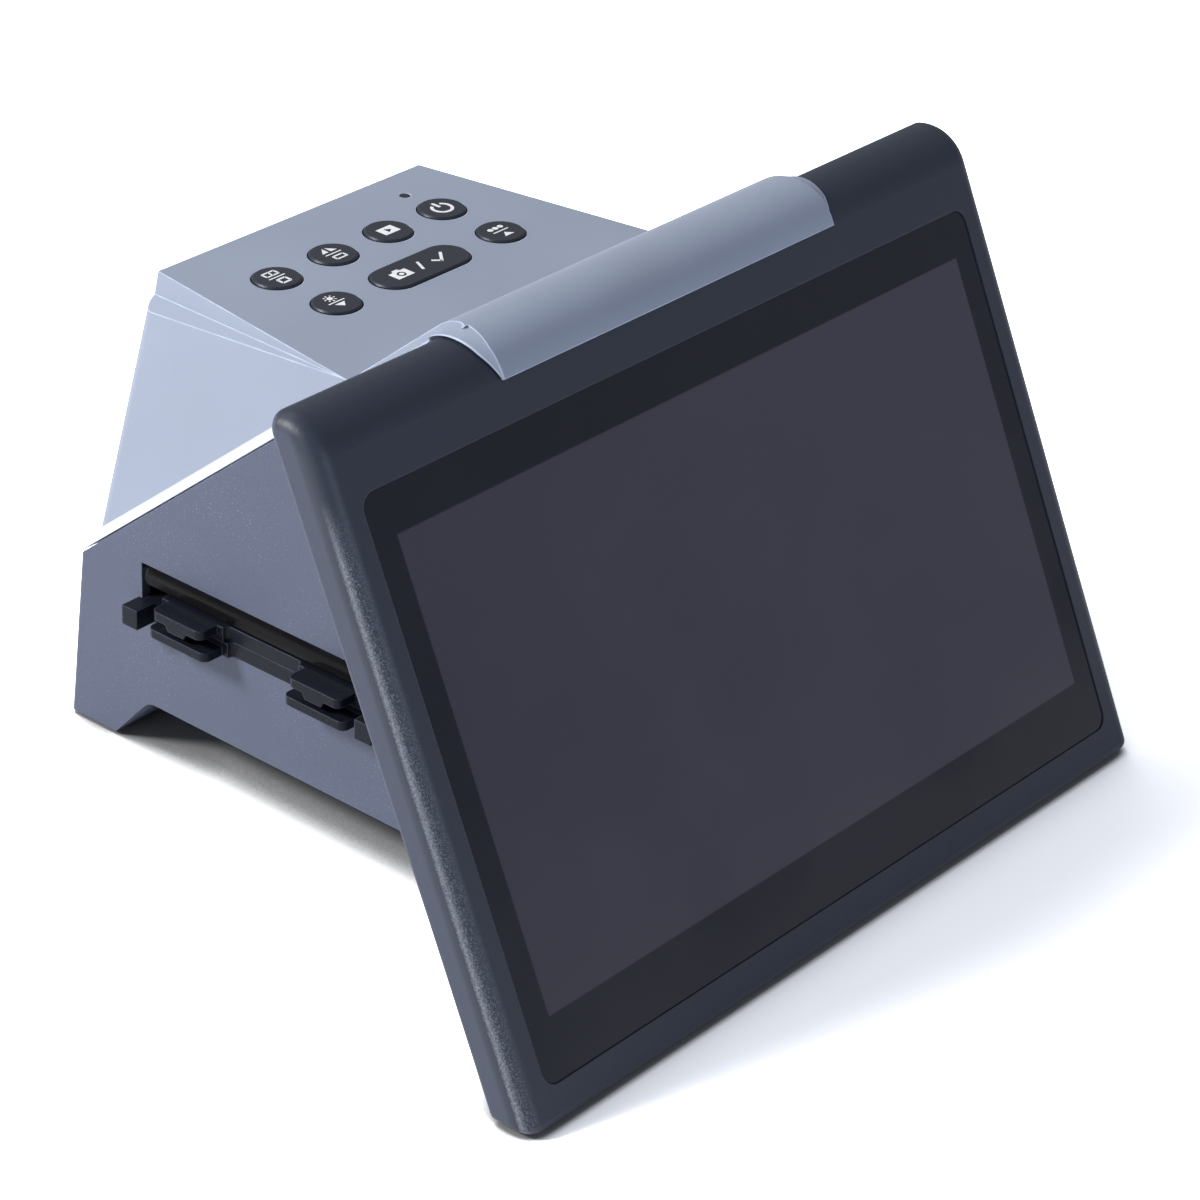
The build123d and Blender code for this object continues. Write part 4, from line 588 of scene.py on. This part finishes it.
def key_print(name, key, body, shapes):
    """The white pictogram on a key's top: thin raised shapes on its flat."""
    low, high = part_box(key)
    centre = (low + high) / 2
    shape = bmesh.new()
    for outline in shapes:
        rings = [[shape.verts.new((centre.x + x * MM, centre.y + y * MM, level)) for x, y in outline]
                 for level in (high.z, high.z + PRINT_HEIGHT)]
        closed_skin(shape, rings)
    finish_mesh(name, shape, PRINT, body, "button")


key_print("power_print", "power_button", "power_key", power_icon())
key_print("playback_print", "playback_button", "playback_key", play_icon())
key_print("mirror_print", "mirror_button", "mirror_key", mirror_icon())
key_print("film_type_print", "film_type_button", "film_type_key", film_icon())
key_print("brightness_print", "brightness_button", "brightness_key", sun_icon())
key_print("colour_print", "colour_button", "colour_key", colour_icon())
key_print("capture_print", "capture_button", "capture_key", camera_icon())


# ---------------------------------------------------------------- pieces finer than the frame's
# where the cover's side stands at the deck's level, and how it closes in towards the rear and the top
HOOD_END_X = 44.22 * MM
HOOD_SWEEP = math.tan(math.radians(6.05))
HOOD_DRAFT = math.tan(math.radians(6.75))
DECK_LEVEL = 97.1 * MM
BODY_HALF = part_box("base_shell")[1].x
# the hood's inside, and its outside, which grows a little towards the top
HOOD_INNER_RADIUS = 9.6 * MM
HOOD_OUTER_RADIUS = 10.35 * MM
HOOD_GROWTH = 0.5 * MM
# the flat ramp behind the hood: its distance from the round's axis, and the angle of its nearest point
RAMP_RADIUS = 10.85 * MM
RAMP_SQUARE = 105.4
# degrees round the screen's top, from the face: the cheek's ends, where it begins to follow the
# ramp, how long it takes to, and how long it takes to fade out
CHEEK_ANGLES = (-1, 131)
CHEEK_STEPS = 48
RAMP_START = 84
RAMP_RUN = 20
CHEEK_FADE = 34
# how far the cheek reaches out of the hood's end, and how deep it is sunk into the hood
CHEEK_REACH = 4.4 * MM
CHEEK_SINK = 0.25 * MM
RAMP_SINK = 1.5 * MM
RAMP_COVER = 0.03 * MM
# what is left of its width at its ends, so that no face there is without area
FIRST_TURN = 1.0
LAST_SHARE = 0.02
# the lowest point of its hollow, as shares of its width and of its height
HOLLOW_ACROSS = 0.42
HOLLOW_UP = 0.36


def clamped(value):
    return min(1.0, max(0.0, value))


def cheek_section(angle):
    """Four corners of the cheek at an angle round the screen's top, with x growing outward."""
    first, last = CHEEK_ANGLES
    swing = math.radians(angle)
    ray = OUT_OF_FACE * math.cos(swing) + UP_FACE * math.sin(swing)
    outer = HOOD_OUTER_RADIUS + HOOD_GROWTH * math.sin(swing)
    behind = clamped((angle - RAMP_START) / RAMP_RUN)
    outer += behind * (RAMP_RADIUS / math.cos(math.radians(angle - RAMP_SQUARE)) - outer - RAMP_COVER)
    brow = ROUND_CENTRE + ray * outer
    sill = ROUND_CENTRE + ray * HOOD_INNER_RADIUS
    hollow = ROUND_CENTRE + ray * (HOOD_INNER_RADIUS + (outer - HOOD_INNER_RADIUS) * HOLLOW_UP)
    # the hood's end slants with the cover's side
    end_x = HOOD_END_X - HOOD_SWEEP * brow.y - HOOD_DRAFT * (brow.z - DECK_LEVEL)
    end_x = min(end_x, BODY_HALF) - CHEEK_SINK - RAMP_SINK * behind
    reach = CHEEK_REACH * math.sin(math.radians(min(90.0, FIRST_TURN + (angle - first))))
    reach *= min(1.0, (last - angle) / CHEEK_FADE + LAST_SHARE)
    reach += RAMP_SINK * behind
    return [
        (end_x, brow.y, brow.z),
        (end_x + HOLLOW_ACROSS * reach, hollow.y, hollow.z),
        (end_x + reach, sill.y, sill.z),
        (end_x, sill.y, sill.z),
    ]


def hood_cheek(name, side):
    """The hollowed bevel between the hood's end and the screen's rounded top, a crescent from the lip."""
    first, last = CHEEK_ANGLES
    shape = bmesh.new()
    rings = []
    for i in range(CHEEK_STEPS + 1):
        section = cheek_section(first + (last - first) * i / CHEEK_STEPS)
        rings.append([shape.verts.new((side * x, y, z)) for x, y, z in section])
    closed_skin(shape, rings)
    smooth(finish_mesh(name, shape, COVER, "scanner_body", "cover_plastic"), degrees=50)


hood_cheek("hood_cheek_left", -1)
hood_cheek("hood_cheek_right", 1)

FLAP_LENGTH = 64.6 * MM
FLAP_PROUD = 0.4 * MM
# the outer face stands back at the top, so that the flap clears its slot as it swings out
FLAP_TOP_BACK = 1.2 * MM
FLAP_BOTTOM_BACK = 0.4 * MM
FLAP_END_BACK = 0.6 * MM


def rounded_bar(x, middle, half, low, high):
    """Corners of a bar's outline with semicircular ends, in the plane at x."""
    radius = (high - low) / 2
    corners = []
    for sign, turns in ((1, range(-90, 91, 12)), (-1, range(90, 271, 12))):
        for turn in turns:
            angle = math.radians(turn)
            corners.append((x, middle + sign * (half - radius) + radius * math.cos(angle),
                            low + radius + radius * math.sin(angle)))
    return corners


def flap_bar(node, body, side):
    """A dust flap as a glossy bar with round ends, standing a little out of its slot."""
    low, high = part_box(node)
    middle = (low.y + high.y) / 2
    inner, outer = sorted((abs(low.x), abs(high.x)))
    half = FLAP_LENGTH / 2
    outlines = [
        (inner, half, low.z, high.z),
        (outer, half, low.z, high.z),
        (BODY_HALF + FLAP_PROUD, half - FLAP_END_BACK, low.z + FLAP_BOTTOM_BACK, high.z - FLAP_TOP_BACK),
    ]
    shape = bmesh.new()
    rings = [[shape.verts.new(corner) for corner in rounded_bar(side * x, middle, reach, bottom, top)]
             for x, reach, bottom, top in outlines]
    closed_skin(shape, rings)
    smooth(finish_mesh(node + "_bar", shape, FLAP, body, "flap_plastic", node), degrees=35)


flap_bar("left_flap", "left_dust_flap", -1)
flap_bar("right_flap", "right_dust_flap", 1)

SCREW_SEGMENTS = 28
# screws drawn in by a little, so that no face of theirs lies in the face of a hole
SHANK_SHARE = 0.96
TIP_SHARE = 0.6
TIP_LENGTH = 0.4 * MM
# the head from below: shares of its height and of its radius
HEAD_PROFILE = ((0.0, 0.97), (0.55, 0.97), (0.85, 0.88), (1.0, 0.7))
# the cross recess: shares of the head's radius and height, and how far it narrows to its floor
CROSS_REACH = 0.62
CROSS_WIDTH = 0.17
CROSS_DEPTH = 0.55
CROSS_FLOOR = 0.55


def islands(node):
    """The separate solids of a node, each as a list of its corners."""
    shape = bmesh.new()
    shape.from_mesh(NODES[node].data)
    bmesh.ops.remove_doubles(shape, verts=shape.verts, dist=0.001 * MM)
    left = set(shape.verts)
    groups = []
    for start in shape.verts:
        if start not in left:
            continue
        left.remove(start)
        reached = [start]
        for vert in reached:
            for edge in vert.link_edges:
                other = edge.other_vert(vert)
                if other in left:
                    left.remove(other)
                    reached.append(other)
        groups.append([vert.co.copy() for vert in reached])
    shape.free()
    return groups


def loop_edges(shape, ring):
    """The edges of a face's outline, corner by corner."""
    return [shape.edges.get((ring[j], ring[(j + 1) % len(ring)])) for j in range(len(ring))]


def cross_plan(reach, width):
    """Corners of a plus sign, anticlockwise."""
    corners = []
    for quarter in range(4):
        for x, y in ((reach, -width), (reach, width), (width, width)):
            for _ in range(quarter):
                x, y = -y, x
            corners.append((x, y))
    return corners


def cross_screw(shape, corners, axis, side):
    """One pan-head screw with a cross recess, where the frame has a plain one with these corners."""
    other = axis.cross(side)
    levels = [corner.dot(axis) for corner in corners]
    top, tip = max(levels), min(levels)
    centre = sum(corners, Vector()) / len(corners)
    centre -= axis * centre.dot(axis)
    radii = [(corner - axis * corner.dot(axis) - centre).length for corner in corners]
    head_radius, shank_radius = max(radii), min(radii)
    middle_radius = (head_radius + shank_radius) / 2
    under = min(level for level, radius in zip(levels, radii) if radius > middle_radius)
    head = top - under

    def ring(level, radius):
        angles = [2 * math.pi * i / SCREW_SEGMENTS for i in range(SCREW_SEGMENTS)]
        return [shape.verts.new(centre + axis * level + side * radius * math.cos(angle)
                                + other * radius * math.sin(angle)) for angle in angles]

    rings = [ring(tip, shank_radius * TIP_SHARE),
             ring(tip + TIP_LENGTH, shank_radius * SHANK_SHARE),
             ring(under, shank_radius * SHANK_SHARE)]
    rings += [ring(under + head * rise, head_radius * share) for rise, share in HEAD_PROFILE]
    skin(shape, rings)
    shape.faces.new(rings[0][::-1])
    # a plus-shaped recess in the crown
    plan = cross_plan(head_radius * CROSS_REACH, head_radius * CROSS_WIDTH)
    sunk = top - head * CROSS_DEPTH
    mouth = [shape.verts.new(centre + axis * top + side * x + other * y) for x, y in plan]
    floor = [shape.verts.new(centre + axis * sunk + (side * x + other * y) * CROSS_FLOOR) for x, y in plan]
    skin(shape, [mouth, floor])
    shape.faces.new(floor)
    crown = loop_edges(shape, rings[-1]) + loop_edges(shape, mouth)
    bmesh.ops.triangle_fill(shape, use_beauty=True, edges=crown)


def cross_screws(name, node, body, axis):
    """Screws with cross recesses in place of a node's plain ones; axis points out of their heads."""
    axis = axis.normalized()
    side = axis.orthogonal().normalized()
    shape = bmesh.new()
    for corners in islands(node):
        cross_screw(shape, corners, axis, side)
    finish_mesh(name, shape, STEEL, body, "steel", node)


cross_screws("case_screw_heads", "case_screws", "scanner_body", Vector((0, 0, -1)))
cross_screws("screen_screw_heads", "screen_screws", "tilting_screen", -OUT_OF_FACE)


# ---------------------------------------------------------------- floor, light and camera
FLOOR_HALF = 3.0
# how open the floor is to its surroundings within a reach: shut in, open, and its tone at each; the dark
# tone where it is shut in is painted shade
FLOOR_REACH = 20 * MM
FLOOR_TONES = (0.45, 0.80, 0.12, 1.3)
# how much of the brighter floor is seen in reflections and through clear parts
REFLECTED_SHARE = 0.2


def floor_white(name):
    """White paper that the camera sees nearer to white than it lights the part, with painted shade where
    it is shut in.
    """
    s = Surface(name)
    s.set(Base_Color=(0.90, 0.91, 0.93, 1), Roughness=0.9, Specular_IOR_Level=0.1)
    shut = s.add("ShaderNodeAmbientOcclusion", samples=16)
    shut.inputs["Distance"].default_value = FLOOR_REACH
    # painted shade: the floor's colour darkens where the part shuts it in, under and beside it
    white_and_painted_shade = s.remap(shut.outputs["AO"], *FLOOR_TONES)
    bright = s.add("ShaderNodeAddShader")
    for socket in bright.inputs:
        white = s.add("ShaderNodeBsdfDiffuse")
        s.link(white_and_painted_shade, white.inputs["Color"])
        s.link(white.outputs[0], socket)
    rays = s.add("ShaderNodeLightPath").outputs
    seen = rays["Is Camera Ray"]
    for other in ("Is Glossy Ray", "Is Transmission Ray"):
        seen = s.maths("MULTIPLY_ADD", rays[other], REFLECTED_SHARE, seen, use_clamp=True)
    choice = s.add("ShaderNodeMixShader")
    s.link(seen, choice.inputs["Fac"])
    s.link(s.shader.outputs[0], choice.inputs[1])
    s.link(bright.outputs[0], choice.inputs[2])
    s.link(choice.outputs[0], s.tree.nodes["Material Output"].inputs["Surface"])
    return s.material


def stage_floor():
    mesh = bpy.data.meshes.new("floor")
    corners = [(x * FLOOR_HALF, y * FLOOR_HALF, 0) for x, y in ((-1, -1), (1, -1), (1, 1), (-1, 1))]
    mesh.from_pydata(corners, [], [(0, 1, 2, 3)])
    mesh.materials.append(floor_white("floor_white"))
    floor = bpy.data.objects.new("floor", mesh)
    bpy.context.scene.collection.objects.link(floor)


def area_light(name, place, target, size, power, colour=(1, 1, 1)):
    data = bpy.data.lights.new(name, "AREA")
    data.shape = "RECTANGLE"
    data.size, data.size_y = size
    data.energy = power
    data.color = colour
    light = bpy.data.objects.new(name, data)
    bpy.context.scene.collection.objects.link(light)
    light.location = place
    light.rotation_euler = (Vector(target) - Vector(place)).to_track_quat("-Z", "Y").to_euler()


def studio_world(name, colour, level):
    world = bpy.data.worlds.new(name)
    bpy.context.scene.world = world
    world.use_nodes = True
    background = world.node_tree.nodes["Background"]
    background.inputs["Color"].default_value = colour
    background.inputs["Strength"].default_value = level


def photo_camera(name, place, direction, up):
    data = bpy.data.cameras.new(name)
    data.sensor_width = SENSOR_WIDTH
    data.lens = LENS_LENGTH
    data.clip_start = 0.01
    camera = bpy.data.objects.new(name, data)
    bpy.context.scene.collection.objects.link(camera)
    right = direction.cross(up).normalized()
    axes = Matrix((right, right.cross(direction), -direction)).transposed()
    camera.matrix_world = Matrix.Translation(place) @ axes.to_4x4()
    bpy.context.scene.camera = camera


LIGHTS = {
    "key_light": dict(place=(-1.70, 1.40, 1.7), target=(0, 0, 0.05), size=(0.7, 0.55), power=78),
    "left_light": dict(place=(-2.2, 0.3, 0.5), target=(0, 0, 0.06), size=(1.4, 0.4), power=4),
    "back_light": dict(place=(0.3, 1.7, 2.1), target=(0, 0, 0.05), size=(1.6, 0.8), power=9),
    # the front of the part is lit bluish, as by a window
    "front_light": dict(place=(-0.3, -2.4, 0.8), target=(0, 0, 0.06), size=(1.4, 0.6), power=14,
                        colour=(0.66, 0.75, 1.0)),
}
SKY_COLOUR = (0.95, 0.97, 1.0, 1)
SKY_LEVEL = 0.31
# the camera stands at the photograph's place, left of the display and above it
CAMERA_PLACE = Vector((-505.05, -436.43, 410.95)) * MM
VIEW_DIRECTION = Vector((0.6716, 0.5582, -0.4872))
VIEW_UP = Vector((0.3504, 0.3401, 0.8727))
LENS_LENGTH = 121.8
SENSOR_WIDTH = 36.0

stage_floor()
for light_name, light_values in LIGHTS.items():
    area_light(light_name, **light_values)
studio_world("studio", SKY_COLOUR, SKY_LEVEL)
photo_camera("camera", CAMERA_PLACE, VIEW_DIRECTION, VIEW_UP)

bpy.context.scene.view_settings.view_transform = "Standard"
